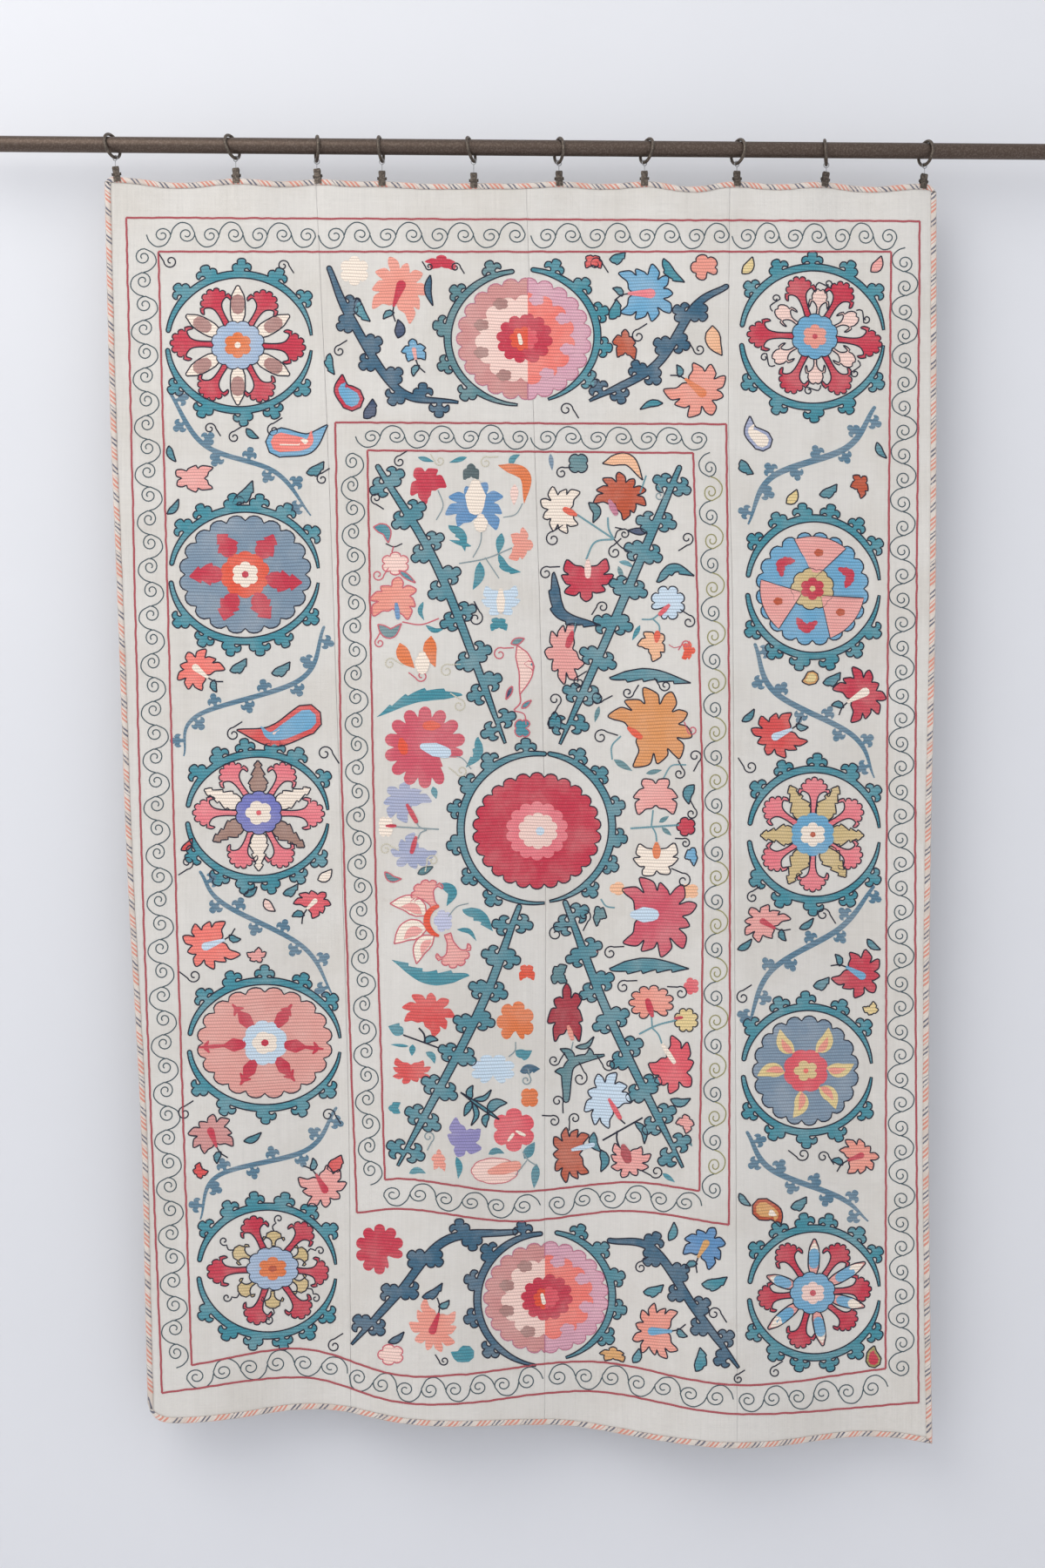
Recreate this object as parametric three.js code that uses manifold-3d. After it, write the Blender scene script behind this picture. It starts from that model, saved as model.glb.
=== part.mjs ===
// A suzani hanging: four embroidered cotton strips, bound at the edges, on a rod with ring clips.
// Millimetres. The rod's axis is X at mid-length, the viewer stands at -Y, and +Z is up.
import * as THREE from 'three';
import { mergeVertices } from 'three/addons/utils/BufferGeometryUtils.js';
import Module from 'manifold-3d';

const wasm = await Module();
wasm.setup();

// Rod, rings, wire eyes and clips
const ROD_RADIUS = 12.5;
const ROD_LENGTH = 1800;
const RING_RADIUS = 19.2;
const RING_WIRE = 2.5;
const EYE_RADIUS = 4.2;
const EYE_WIRE = 0.65;
const CLIP_WIDTH = 11;
const CLIP_HEIGHT = 25;
const CLIP_BITE = 8;
const CLIP_PLATE = 1.3;
const LUG_RADIUS = 2.6;
const LUG_SPAN = 15;
const LUG_HEIGHT = 12.4;

// Cloth
const CLOTH_THICK = 1.0;
const BINDING_THICK = 1.0;
const BINDING_WIDTH = 9.5;
const GAP = 0.3;
const COLUMN_STEP = 34;
const CLIP_FLAT = 8;
const STRAIGHT_TOP = 20;
const HEM_DEPTH = 2000;
const WAVE_FADE = 300;

// One row for each hanger, left to right: where the clip's jaw stands, the height of the cloth's
// edge there, the sag of the edge towards the next clip, the clip's turn and tilt, where the ring
// crosses the top of the rod, and the ring's turn.
const HANGERS = [
  { clipX: -643.5, edge: -51, sag: 6.5, turn: 6, tilt: 8, ringX: -657, ringTurn: -28 },
  { clipX: -455, edge: -52, sag: 4, turn: -7, tilt: 3, ringX: -467.5, ringTurn: -27 },
  { clipX: -325, edge: -52, sag: 2, turn: -8, tilt: 6, ringX: -327.5, ringTurn: 10 },
  { clipX: -224, edge: -55, sag: 2, turn: 0, tilt: 0, ringX: -228, ringTurn: -10 },
  { clipX: -77.5, edge: -57, sag: 2.5, turn: -3, tilt: 1, ringX: -86.5, ringTurn: -17 },
  { clipX: 59, edge: -53, sag: 3, turn: 4, tilt: 2, ringX: 58, ringTurn: 20 },
  { clipX: 195, edge: -52, sag: 9.5, turn: -7, tilt: 0, ringX: 202, ringTurn: 25 },
  { clipX: 343.5, edge: -51, sag: 4.5, turn: 5, tilt: 1, ringX: 347, ringTurn: 27 },
  { clipX: 483.5, edge: -51, sag: 6, turn: 11, tilt: -8, ringX: 484, ringTurn: -8 },
  { clipX: 642, edge: -53, sag: 0, turn: 10, tilt: -7, ringX: 649, ringTurn: 24 },
];

// The strips' long edges, left to right: x at seven heights below the rod
const EDGE_HEIGHTS = [-2050, -1850, -1560, -1150, -740, -430, -55];
const STRIP_EDGES = [
  [-594, -599, -606, -628, -643, -655, -664],
  [-274, -275, -277, -288, -301, -312, -329],
  [36, 36, 36, 37, 28, 18, 6],
  [341, 340, 339, 337, 335, 329, 332],
  [656, 653, 651, 654, 662, 664, 665],
];
const CORNER_DROP = 12;
const CORNER_RUN = 14;

// The hem, left to right
const HEM_X = [-596, -590, -575, -550, -464, -378, -289, -200, -89, 45, 135, 244, 400, 493, 605, 655];
const HEM_Z = [
  -1993, -2012, -2025, -2028, -2022, -2015, -2018, -2029,
  -2034, -2041, -2055, -2065, -2072, -2068, -2066, -2071,
];

// Soft vertical folds at the hem: middle, half-width, depth (towards the wall is plus) and the
// sideways run of the fold up to the rod
const FOLDS = [
  { at: -500, half: 85, depth: -14, run: -40 },
  { at: -317, half: 75, depth: 20, run: -45 },
  { at: -130, half: 95, depth: -24, run: -35 },
  { at: 111, half: 75, depth: 24, run: -25 },
  { at: 320, half: 95, depth: -26, run: -10 },
  { at: 545, half: 80, depth: 20, run: 5 },
  { at: 690, half: 80, depth: -12, run: 5 },
];
const ROWS = [0, 0.01, 0.03, 0.06, 0.1, 0.15, 0.21, 0.28, 0.35, 0.42, 0.5, 0.58, 0.66, 0.74, 0.82, 0.88, 0.94, 1];

const rad = THREE.MathUtils.degToRad;
const { clamp, lerp } = THREE.MathUtils;

// Smooth curve through a short table
function along(xs, ys, x) {
  const t = clamp(x, xs[0], xs[xs.length - 1]);
  const i = clamp(xs.findIndex((v) => v > t) - 1, 0, xs.length - 2);
  const k = t >= xs[xs.length - 1] ? xs.length - 2 : i;
  const slope = (n) => {
    const a = Math.max(n - 1, 0);
    const b = Math.min(n + 1, xs.length - 1);
    return (ys[b] - ys[a]) / (xs[b] - xs[a]);
  };
  return hermite(xs[k], ys[k], slope(k), xs[k + 1], ys[k + 1], slope(k + 1), t);
}

function hermite(x0, y0, m0, x1, y1, m1, x) {
  const span = x1 - x0;
  const t = (x - x0) / span;
  const s = 1 - t;
  return s * s * (1 + 2 * t) * y0 + t * t * (3 - 2 * t) * y1 + span * t * s * (s * m0 - t * m1);
}

// Height of the cloth's top edge: level over each clip, sagging between them, rounded at the left
function topEdge(x) {
  const last = HANGERS.length - 1;
  if (x <= HANGERS[0].clipX) {
    const corner = clamp((HANGERS[0].clipX - CLIP_FLAT - x) / CORNER_RUN, 0, 1);
    return HANGERS[0].edge - CORNER_DROP * corner * corner;
  }
  if (x >= HANGERS[last].clipX) {
    const corner = clamp((x - HANGERS[last].clipX - CLIP_FLAT) / CORNER_RUN, 0, 1);
    return HANGERS[last].edge - CORNER_DROP * corner * corner;
  }
  const i = HANGERS.findIndex((h) => h.clipX > x) - 1;
  const a = HANGERS[i];
  const b = HANGERS[i + 1];
  const t = (x - a.clipX) / (b.clipX - a.clipX);
  return lerp(a.edge, b.edge, t) - a.sag * Math.sin(Math.PI * t) ** 2;
}

const hem = (x) => along(HEM_X, HEM_Z, x);
const stripEdge = (i, z) => along(EDGE_HEIGHTS, STRIP_EDGES[i], z);

// Depth of the top edge: in line with each clip's turn, swinging to and fro between the clips
function topWave(x) {
  const slope = (h) => Math.tan(rad(h.turn));
  const near = HANGERS.find((h) => Math.abs(x - h.clipX) <= CLIP_FLAT);
  if (near) {
    return slope(near) * (x - near.clipX);
  }
  const i = HANGERS.findIndex((h) => h.clipX > x);
  if (i < 1) {
    const end = i === 0 ? HANGERS[0] : HANGERS[HANGERS.length - 1];
    return slope(end) * (x - end.clipX);
  }
  const a = HANGERS[i - 1];
  const b = HANGERS[i];
  return hermite(
    a.clipX + CLIP_FLAT, slope(a) * CLIP_FLAT, slope(a),
    b.clipX - CLIP_FLAT, -slope(b) * CLIP_FLAT, slope(b), x,
  );
}

// Depth of the whole cloth: the top's wave fades out as the long folds grow towards the hem
function depth(x, z) {
  const below = Math.max(topEdge(x) - z - STRAIGHT_TOP, 0);
  const s = clamp(below / HEM_DEPTH, 0, 1);
  let folds = 0;
  for (const f of FOLDS) {
    folds += f.depth * Math.exp(-(((x - f.at - f.run * (1 - s)) / f.half) ** 2));
  }
  return topWave(x) * Math.exp(-below / WAVE_FADE) + folds * s * (1.6 - 0.6 * s);
}

// A point a little in front of the cloth's middle sheet, or behind it where out is minus
function onCloth(x, z, out) {
  const step = 0.5;
  const dx = (depth(x + step, z) - depth(x - step, z)) / (2 * step);
  const dz = (depth(x, z + step) - depth(x, z - step)) / (2 * step);
  const front = new THREE.Vector3(dx, -1, dz).normalize();
  return new THREE.Vector3(x, depth(x, z), z).addScaledVector(front, out);
}

// Joins the faces of a closed geometry and turns them outwards
function closed(geometry) {
  geometry.deleteAttribute('normal');
  geometry.deleteAttribute('uv');
  const joined = mergeVertices(geometry, 1e-4);
  const at = (k) => new THREE.Vector3().fromBufferAttribute(joined.attributes.position, joined.index.getX(k));
  let volume = 0;
  for (let k = 0; k < joined.index.count; k += 3) {
    volume += at(k).dot(at(k + 1).cross(at(k + 2)));
  }
  if (volume < 0) {
    joined.index.array.reverse();
  }
  joined.computeVertexNormals();
  return joined;
}

function toManifold(geometry) {
  const joined = closed(geometry);
  return new wasm.Manifold(new wasm.Mesh({
    numProp: 3,
    vertProperties: new Float32Array(joined.attributes.position.array),
    triVerts: new Uint32Array(joined.index.array),
  }));
}

function fromManifold(solid) {
  const mesh = solid.getMesh();
  const geometry = new THREE.BufferGeometry();
  geometry.setAttribute('position', new THREE.BufferAttribute(mesh.vertProperties, 3));
  geometry.setIndex(new THREE.BufferAttribute(mesh.triVerts, 1));
  geometry.computeVertexNormals();
  return geometry;
}

const finishes = {
  bronze: { color: 0x66564a, roughness: 0.42, metalness: 0.85 },
  ringBronze: { color: 0x5c5148, roughness: 0.4, metalness: 0.9 },
  steel: { color: 0x7d8084, roughness: 0.35, metalness: 1 },
  clipBronze: { color: 0x4f463d, roughness: 0.5, metalness: 0.85 },
  cotton: { color: 0xe2dccf, roughness: 0.95, metalness: 0 },
  stripedCotton: { color: 0xd9b3a5, roughness: 0.95, metalness: 0 },
};

function piece(name, geometry, finish) {
  const mesh = new THREE.Mesh(geometry, new THREE.MeshStandardMaterial(finishes[finish]));
  mesh.name = name;
  return mesh;
}

// Rod
function rod() {
  const tube = new THREE.CylinderGeometry(ROD_RADIUS, ROD_RADIUS, ROD_LENGTH, 32);
  return piece('rod', closed(tube.rotateZ(Math.PI / 2)), 'bronze');
}

// Lowest place of a turned and leaning ring's middle at which it still rests just over the rod
function ringSeat(rotation) {
  const clear = (z) => {
    for (let k = 0; k < 120; k += 1) {
      const a = (k / 120) * Math.PI * 2;
      const p = new THREE.Vector3(0, Math.cos(a), Math.sin(a)).multiplyScalar(RING_RADIUS).applyEuler(rotation);
      if (Math.hypot(p.y, p.z + z) < ROD_RADIUS + RING_WIRE + GAP) {
        return false;
      }
    }
    return true;
  };
  let high = 0;
  let low = -RING_RADIUS / 2;
  for (let k = 0; k < 30; k += 1) {
    const middle = (high + low) / 2;
    if (clear(middle)) {
      high = middle;
    } else {
      low = middle;
    }
  }
  return high;
}

function ring(name, h, eyeX) {
  const lean = Math.asin((eyeX - h.ringX) / (2 * RING_RADIUS));
  const mesh = piece(name, closed(new THREE.TorusGeometry(RING_RADIUS, RING_WIRE, 8, 20).rotateY(Math.PI / 2)), 'ringBronze');
  mesh.rotation.set(0, -lean, rad(h.ringTurn), 'YZX');
  mesh.position.set((eyeX + h.ringX) / 2, 0, ringSeat(mesh.rotation));
  return mesh;
}

// Wire eye: a loop round the foot of the ring, and a shank down to the clip
function eye(name, foot, clipTop, turn) {
  const middle = foot - EYE_RADIUS + RING_WIRE + EYE_WIRE + GAP;
  const shank = middle - EYE_RADIUS - clipTop - GAP;
  const loop = new THREE.TorusGeometry(EYE_RADIUS, EYE_WIRE, 6, 14).rotateX(Math.PI / 2);
  const stem = new THREE.CylinderGeometry(EYE_WIRE, EYE_WIRE, shank, 8).rotateX(Math.PI / 2);
  stem.translate(0, 0, -EYE_RADIUS - shank / 2);
  const mesh = piece(name, fromManifold(toManifold(loop).add(toManifold(stem))), 'steel');
  mesh.position.z = middle;
  mesh.rotation.z = rad(turn);
  return mesh;
}

// Clip: a folded plate over the cloth's edge, ridged at the top, with a spring pin across it
function clip(name) {
  const slot = CLOTH_THICK / 2 + BINDING_THICK + GAP * 2;
  const jaw = slot + CLIP_PLATE;
  const side = [
    [jaw, 0], [jaw + 0.3, 8.5], [jaw + 0.7, LUG_HEIGHT], [jaw, 14.5], [jaw - 0.5, 18],
    [jaw, 18.6], [jaw - 0.5, 19.6], [jaw, 20.6], [jaw - 0.5, 21.6], [jaw, 22.6], [jaw - 0.6, CLIP_HEIGHT],
  ];
  const outline = new THREE.Shape();
  outline.moveTo(-side[0][0], side[0][1]);
  side.slice(1).forEach(([y, z]) => outline.lineTo(-y, z));
  [...side].reverse().forEach(([y, z]) => outline.lineTo(y, z));
  outline.lineTo(slot, 0);
  outline.lineTo(slot, 14);
  outline.lineTo(slot - 0.7, CLIP_HEIGHT - 2);
  outline.lineTo(0.7 - slot, CLIP_HEIGHT - 2);
  outline.lineTo(-slot, 14);
  outline.lineTo(-slot, 0);
  const body = new THREE.ExtrudeGeometry(outline, { depth: CLIP_WIDTH, bevelEnabled: false });
  body.translate(0, 0, -CLIP_WIDTH / 2);
  body.rotateX(Math.PI / 2);
  body.rotateZ(Math.PI / 2);
  const pin = new THREE.CylinderGeometry(LUG_RADIUS, LUG_RADIUS, LUG_SPAN, 10).rotateZ(Math.PI / 2);
  pin.translate(0, 0, LUG_HEIGHT);
  return piece(name, fromManifold(toManifold(body).add(toManifold(pin))), 'clipBronze');
}

function hanger(h, number) {
  const id = String(number).padStart(2, '0');
  const group = new THREE.Group();
  const bite = clip(`clip_${id}`);
  bite.rotation.set(0, -rad(h.tilt), rad(h.turn), 'ZYX');
  bite.position.set(h.clipX, 0, h.edge - CLIP_BITE);
  const top = new THREE.Vector3(0, 0, CLIP_HEIGHT).applyEuler(bite.rotation).add(bite.position);
  const loop = ring(`ring_${id}`, h, top.x);
  const foot = new THREE.Vector3(0, 0, -RING_RADIUS).applyEuler(loop.rotation).add(loop.position);
  const wire = eye(`eye_${id}`, foot.z, top.z, h.ringTurn);
  wire.position.x = top.x;
  wire.position.y = top.y;
  group.add(loop, wire, bite);
  return group;
}

// Columns of a strip: the flat stretch at each clip has its own, and wide spaces are shared out
function columns(i) {
  const left = STRIP_EDGES[i].at(-1);
  const right = STRIP_EDGES[i + 1].at(-1);
  const clipEdges = HANGERS.flatMap((h) => [h.clipX - CLIP_FLAT, h.clipX + CLIP_FLAT]);
  const fixed = [left, ...clipEdges.filter((x) => x > left + 1 && x < right - 1), right];
  const all = [];
  for (let k = 1; k < fixed.length; k += 1) {
    const count = Math.ceil((fixed[k] - fixed[k - 1]) / COLUMN_STEP);
    for (let n = 0; n < count; n += 1) {
      all.push(lerp(fixed[k - 1], fixed[k], n / count));
    }
  }
  all.push(right);
  return all.map((x) => (x - left) / (right - left));
}

// The place on the cloth at a strip's column and row, both from 0 to 1
function place(i, column, row, margins) {
  let z = lerp(HANGERS[0].edge, HEM_Z[8], row);
  let x = 0;
  for (let k = 0; k < 6; k += 1) {
    x = lerp(stripEdge(i, z) + margins.left, stripEdge(i + 1, z) - margins.right, column);
    z = lerp(topEdge(x) - margins.ends, hem(x) + margins.ends, row);
  }
  return [x, z];
}

// Cloth strip
function panel(i) {
  const across = columns(i);
  const bound = BINDING_THICK + GAP;
  const margins = {
    left: i === 0 ? bound : GAP / 2,
    right: i === STRIP_EDGES.length - 2 ? bound : GAP / 2,
    ends: bound,
  };
  const count = across.length - 1;
  const sheet = new THREE.BoxGeometry(1, 1, 1, count, 1, ROWS.length - 1);
  const vertices = sheet.attributes.position;
  for (let k = 0; k < vertices.count; k += 1) {
    const column = across[Math.round((vertices.getX(k) + 0.5) * count)];
    const row = ROWS[Math.round((0.5 - vertices.getZ(k)) * (ROWS.length - 1))];
    const [x, z] = place(i, column, row, margins);
    const p = onCloth(x, z, -vertices.getY(k) * CLOTH_THICK);
    vertices.setXYZ(k, p.x, p.y, p.z);
  }
  return piece(`panel_${i + 1}`, closed(sheet), 'cotton');
}

// Binding strip: a folded section carried along one edge; spot(step, inset) gives x and z
function binding(name, steps, spot) {
  const inner = CLOTH_THICK / 2 + GAP;
  const outer = inner + BINDING_THICK;
  const fold = new THREE.Shape();
  fold.moveTo(BINDING_WIDTH, outer);
  fold.lineTo(0, outer);
  fold.lineTo(0, -outer);
  fold.lineTo(BINDING_WIDTH, -outer);
  fold.lineTo(BINDING_WIDTH, -inner);
  fold.lineTo(BINDING_THICK, -inner);
  fold.lineTo(BINDING_THICK, inner);
  fold.lineTo(BINDING_WIDTH, inner);
  const strip = new THREE.ExtrudeGeometry(fold, { depth: steps, steps, bevelEnabled: false });
  const vertices = strip.attributes.position;
  for (let k = 0; k < vertices.count; k += 1) {
    const [x, z] = spot(Math.round(vertices.getZ(k)), vertices.getX(k));
    const p = onCloth(x, z, vertices.getY(k));
    vertices.setXYZ(k, p.x, p.y, p.z);
  }
  return piece(name, closed(strip), 'stripedCotton');
}

// The mitres stand a little apart, so the two lying strips start and end a touch further in
const MITRE = GAP * 0.8;
const noMargins = { left: 0, right: 0, ends: 0 };
const stripCount = STRIP_EDGES.length - 1;

function endBinding(name, row) {
  const spots = [];
  for (let i = 0; i < stripCount; i += 1) {
    columns(i).slice(i === 0 ? 0 : 1).forEach((column) => spots.push([i, column]));
  }
  const last = spots.length - 1;
  return binding(name, last, (step, inset) => {
    const [i, column] = spots[step];
    const mitre = step === 0 ? inset + MITRE : step === last ? -inset - MITRE : 0;
    const x = place(i, column, row, noMargins)[0] + mitre;
    return [x, row === 0 ? topEdge(x) - inset : hem(x) + inset];
  });
}

function sideBinding(name, i, inward) {
  const last = ROWS.length - 1;
  return binding(name, last, (step, inset) => {
    const [edgeX, edgeZ] = place(Math.min(i, stripCount - 1), i === 0 ? 0 : 1, ROWS[step], noMargins);
    const x = edgeX + inward * inset;
    if (step === 0) {
      return [x, topEdge(x) - inset - MITRE];
    }
    if (step === last) {
      return [x, hem(x) + inset + MITRE];
    }
    return [stripEdge(i, edgeZ) + inward * inset, edgeZ];
  });
}

const hanging = new THREE.Group();
hanging.add(rod());
HANGERS.forEach((h, k) => hanging.add(hanger(h, k + 1)));
for (let i = 0; i < stripCount; i += 1) {
  hanging.add(panel(i));
}
hanging.add(endBinding('binding_top', 0));
hanging.add(endBinding('binding_bottom', 1));
hanging.add(sideBinding('binding_left', 0, 1));
hanging.add(sideBinding('binding_right', stripCount, -1));

export default hanging;
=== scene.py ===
"""An embroidered suzani on a bronze rod with ring clips.

Shapes are in millimetres. The pattern is laid out as it is seen, in the photograph's pixels, as
complex numbers (across plus down times i), and each spot is carried by the camera's ray onto the cloth.
"""

import cmath
import math
import random

import bpy
import numpy as np
from mathutils import Matrix, Vector
from mathutils.geometry import delaunay_2d_cdt


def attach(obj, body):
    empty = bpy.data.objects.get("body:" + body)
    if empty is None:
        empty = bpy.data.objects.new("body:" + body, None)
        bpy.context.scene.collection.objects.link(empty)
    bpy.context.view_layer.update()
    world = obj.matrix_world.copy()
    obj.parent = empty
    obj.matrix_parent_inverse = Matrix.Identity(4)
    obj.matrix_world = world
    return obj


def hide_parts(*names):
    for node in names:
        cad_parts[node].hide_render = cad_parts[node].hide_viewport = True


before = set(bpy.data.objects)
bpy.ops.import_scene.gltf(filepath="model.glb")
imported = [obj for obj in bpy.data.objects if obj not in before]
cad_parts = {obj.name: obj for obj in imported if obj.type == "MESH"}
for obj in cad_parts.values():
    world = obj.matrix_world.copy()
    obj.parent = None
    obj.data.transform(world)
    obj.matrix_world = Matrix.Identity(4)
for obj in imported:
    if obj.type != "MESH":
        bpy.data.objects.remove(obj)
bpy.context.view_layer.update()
chance = random.Random(7)

MM = 0.001

# Camera
EYE = (-92.0, -3500.0, -1015.0)
AIM = (0.0, 0.0, -1015.0)
PIXEL = 1.39
PHOTO_MIDDLE = 600 + 900j
PHOTO_HEIGHT = 1800
SENSOR = 36.0

# Rod, rings, wire eyes and clips
ROD_RADIUS = 12.5
ROD_LENGTH = 1800
RING_RADIUS = 19.2
RING_WIRE = 2.5
EYE_RADIUS = 4.2
EYE_WIRE = 0.65
CLIP_WIDTH = 11
CLIP_HEIGHT = 25
CLIP_BITE = 8
CLIP_PLATE = 1.1
CLIP_SLOT = 2.2
LUG_SPAN = 15
LUG_HEIGHT = 12.4
RING_CLEARANCE = 15.3

# Cloth
CLOTH_THICK = 0.6
SEAM_GAP = 0.15
EDGE_MARGIN = 1.3
CORNER_DROP = 12
CORNER_RUN = 14
CLIP_FLAT = 8
STRAIGHT_TOP = 20
HEM_DEPTH = 2000
WAVE_FADE = 300
SEAM_DIP = 2.2
TABLE_REACH = 760.0
TABLE_STEP = 0.5

# Binding: how far its fold, its middle and its inside lie in from the cloth's edge
BINDING_WIDTH = 9.5
BINDING_THICK = 0.8
BINDING_GAP = 0.35
BINDING_MIDDLE = 5.0
BINDING_INSIDE = 1.0
FOLD_DEPTH = 1.2
SECTION_STEP = 2.2
MITRE = 0.25
FRAY = (-0.6, 0.5)

# Weave, stripes and thread
WARP_PITCH = 1.1
WEFT_PITCH = 1.25
STRIPE_PITCH = 7.4
STRIPE_GROUP = 46
STRIPE_SLANT = 1.7
ROW_PITCH = 5.0
TIE_PITCH = 3.8
CHAIN_PITCH = 3.2

# Stitches: their heights over the cloth's middle, in mm, and their mesh and line widths, in pixels
FILL_LIFT = 0.95
RIM_LIFT = 0.5
LEVEL_STEP = 0.34
LINE_LIFT = 1.15
CORD_HEIGHT = 0.45
CELL = 7.0
OUTLINE = 1.5
BORDER_WIDTH = 2.3
SCROLL_WIDTH = 1.35
GAMMA = 2.2

# Flat width of the strips, in metres
STRIP_WIDTH = 0.325

# Hangers: clip's x, edge height, sag to the next, clip's turn and tilt, ring's x on the rod and turn
HANGERS = [
    (-643.5, -51, 6.5, 6, 8, -657, -28),
    (-455, -52, 4, -7, 3, -467.5, -27),
    (-325, -52, 2, -8, 6, -327.5, 10),
    (-224, -55, 2, 0, 0, -228, -10),
    (-77.5, -57, 2.5, -3, 1, -86.5, -17),
    (59, -53, 3, 4, 2, 58, 20),
    (195, -52, 9.5, -7, 0, 202, 25),
    (343.5, -51, 4.5, 5, 1, 347, 27),
    (483.5, -51, 6, 11, -8, 484, -8),
    (642, -53, 0, 10, -7, 649, 24),
]

# The strips' long edges, left to right: x at seven heights below the rod
EDGE_HEIGHTS = [-2050, -1850, -1560, -1150, -740, -430, -55]
STRIP_EDGES = [
    [-594, -599, -606, -628, -643, -655, -664],
    [-274, -275, -277, -288, -301, -312, -329],
    [36, 36, 36, 37, 28, 18, 6],
    [341, 340, 339, 337, 335, 329, 332],
    [656, 653, 651, 654, 662, 664, 665],
]
STRIP_COUNT = len(STRIP_EDGES) - 1

# The hem, left to right: its x and its height below the rod
HEM_X = [-596, -590, -575, -550, -464, -378, -289, -200, -89, 45, 135, 244, 400, 493, 605, 655]
HEM_Z = [
    -1993, -2012, -2025, -2028, -2022, -2015, -2018, -2029,
    -2034, -2041, -2055, -2065, -2072, -2068, -2066, -2071,
]

# Long soft folds at the hem: middle, half-width, depth towards the wall, sideways run up to the rod
FOLDS = [
    (-500, 85, -14, -40),
    (-317, 75, 20, -45),
    (-130, 95, -24, -35),
    (111, 75, 24, -25),
    (320, 95, -26, -10),
    (545, 80, 20, 5),
    (690, 80, -12, 5),
]

# Soft creases pressed by storage: both ends (x, z), half-width, height towards the viewer
CREASES = [
    ((-560, -330), (-545, -1000), 16, 1.4),
    ((-430, -120), (-420, -620), 14, -1.3),
    ((-180, -130), (-165, -520), 15, 1.3),
    ((120, -140), (135, -700), 17, -1.6),
    ((270, -110), (255, -480), 13, 1.5),
    ((560, -140), (575, -900), 18, 1.8),
    ((430, -300), (445, -1250), 15, -1.3),
    ((-60, -900), (-75, -1700), 18, 1.2),
    ((-450, -1150), (-430, -1900), 15, 1.5),
    ((230, -1300), (215, -2000), 14, 1.5),
    ((600, -1100), (590, -1950), 15, -1.4),
    ((-600, -1060), (640, -1075), 22, 1.0),
]


def polynomial(x0, y0, m0, x1, y1, m1, x):
    """A cubic from (x0, y0) to (x1, y1) with the slopes m0 and m1."""
    span = x1 - x0
    t = (x - x0) / span
    s = 1 - t
    return s * s * (1 + 2 * t) * y0 + t * t * (3 - 2 * t) * y1 + span * t * s * (s * m0 - t * m1)


def curve_through(xs, ys, slopes, x):
    """A smooth curve through places whose slopes are given."""
    xs, ys, slopes = (np.asarray(v, float) for v in (xs, ys, slopes))
    x = np.clip(x, xs[0], xs[-1])
    k = np.clip(np.searchsorted(xs, x, side="right") - 1, 0, len(xs) - 2)
    return polynomial(xs[k], ys[k], slopes[k], xs[k + 1], ys[k + 1], slopes[k + 1], x)


def along(xs, ys, x):
    """Smooth curve through a short table."""
    last = len(xs) - 1
    before = [max(k - 1, 0) for k in range(last + 1)]
    after = [min(k + 1, last) for k in range(last + 1)]
    slopes = [(ys[b] - ys[a]) / (xs[b] - xs[a]) for a, b in zip(before, after)]
    return curve_through(xs, ys, slopes, x)


CLIP_X = np.array([h[0] for h in HANGERS], float)
EDGE_Z = np.array([h[1] for h in HANGERS], float)
SAG = np.array([h[2] for h in HANGERS], float)


def top_edge(x):
    """Height of the cloth's top edge: level over each clip and sagging between them."""
    k = np.clip(np.searchsorted(CLIP_X, x, side="right") - 1, 0, len(CLIP_X) - 2)
    t = np.clip((x - CLIP_X[k]) / (CLIP_X[k + 1] - CLIP_X[k]), 0, 1)
    level = EDGE_Z[k] + (EDGE_Z[k + 1] - EDGE_Z[k]) * t - SAG[k] * np.sin(math.pi * t) ** 2
    outside = np.maximum(CLIP_X[0] - x, x - CLIP_X[-1])
    corner = np.clip((outside - CLIP_FLAT) / CORNER_RUN, 0, 1)
    return level - CORNER_DROP * corner**2


def top_wave(x):
    """Depth of the top edge, in line with each clip's turn and swinging to and fro between them."""
    knots, depths, slopes = [-TABLE_REACH], [], []
    for h in HANGERS:
        slope = math.tan(math.radians(h[3]))
        knots += [h[0] - CLIP_FLAT, h[0] + CLIP_FLAT]
        depths += [-slope * CLIP_FLAT, slope * CLIP_FLAT]
        slopes += [slope, slope]
    knots.append(TABLE_REACH)
    depths.insert(0, slopes[0] * (knots[0] - CLIP_X[0]))
    depths.append(slopes[-1] * (knots[-1] - CLIP_X[-1]))
    slopes = [slopes[0], *slopes, slopes[-1]]
    return curve_through(knots, depths, slopes, x)


TABLE_X = np.arange(-TABLE_REACH, TABLE_REACH + TABLE_STEP, TABLE_STEP)
TABLE_TOP = top_edge(TABLE_X)
TABLE_WAVE = top_wave(TABLE_X)


def hem(x):
    return along(HEM_X, HEM_Z, x)


def strip_edge(number, z):
    return along(EDGE_HEIGHTS, STRIP_EDGES[number], z)


def crease_height(x, z):
    height = 0
    for (x0, z0), (x1, z1), half, tall in CREASES:
        run = complex(x1 - x0, z1 - z0)
        place = (x - x0 + 1j * (z - z0)) / run
        ends = np.clip(place.real * 5, 0, 1) * np.clip((1 - place.real) * 5, 0, 1)
        height = height + tall * ends * np.exp(-((place.imag * abs(run) / half) ** 2))
    return height


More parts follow.
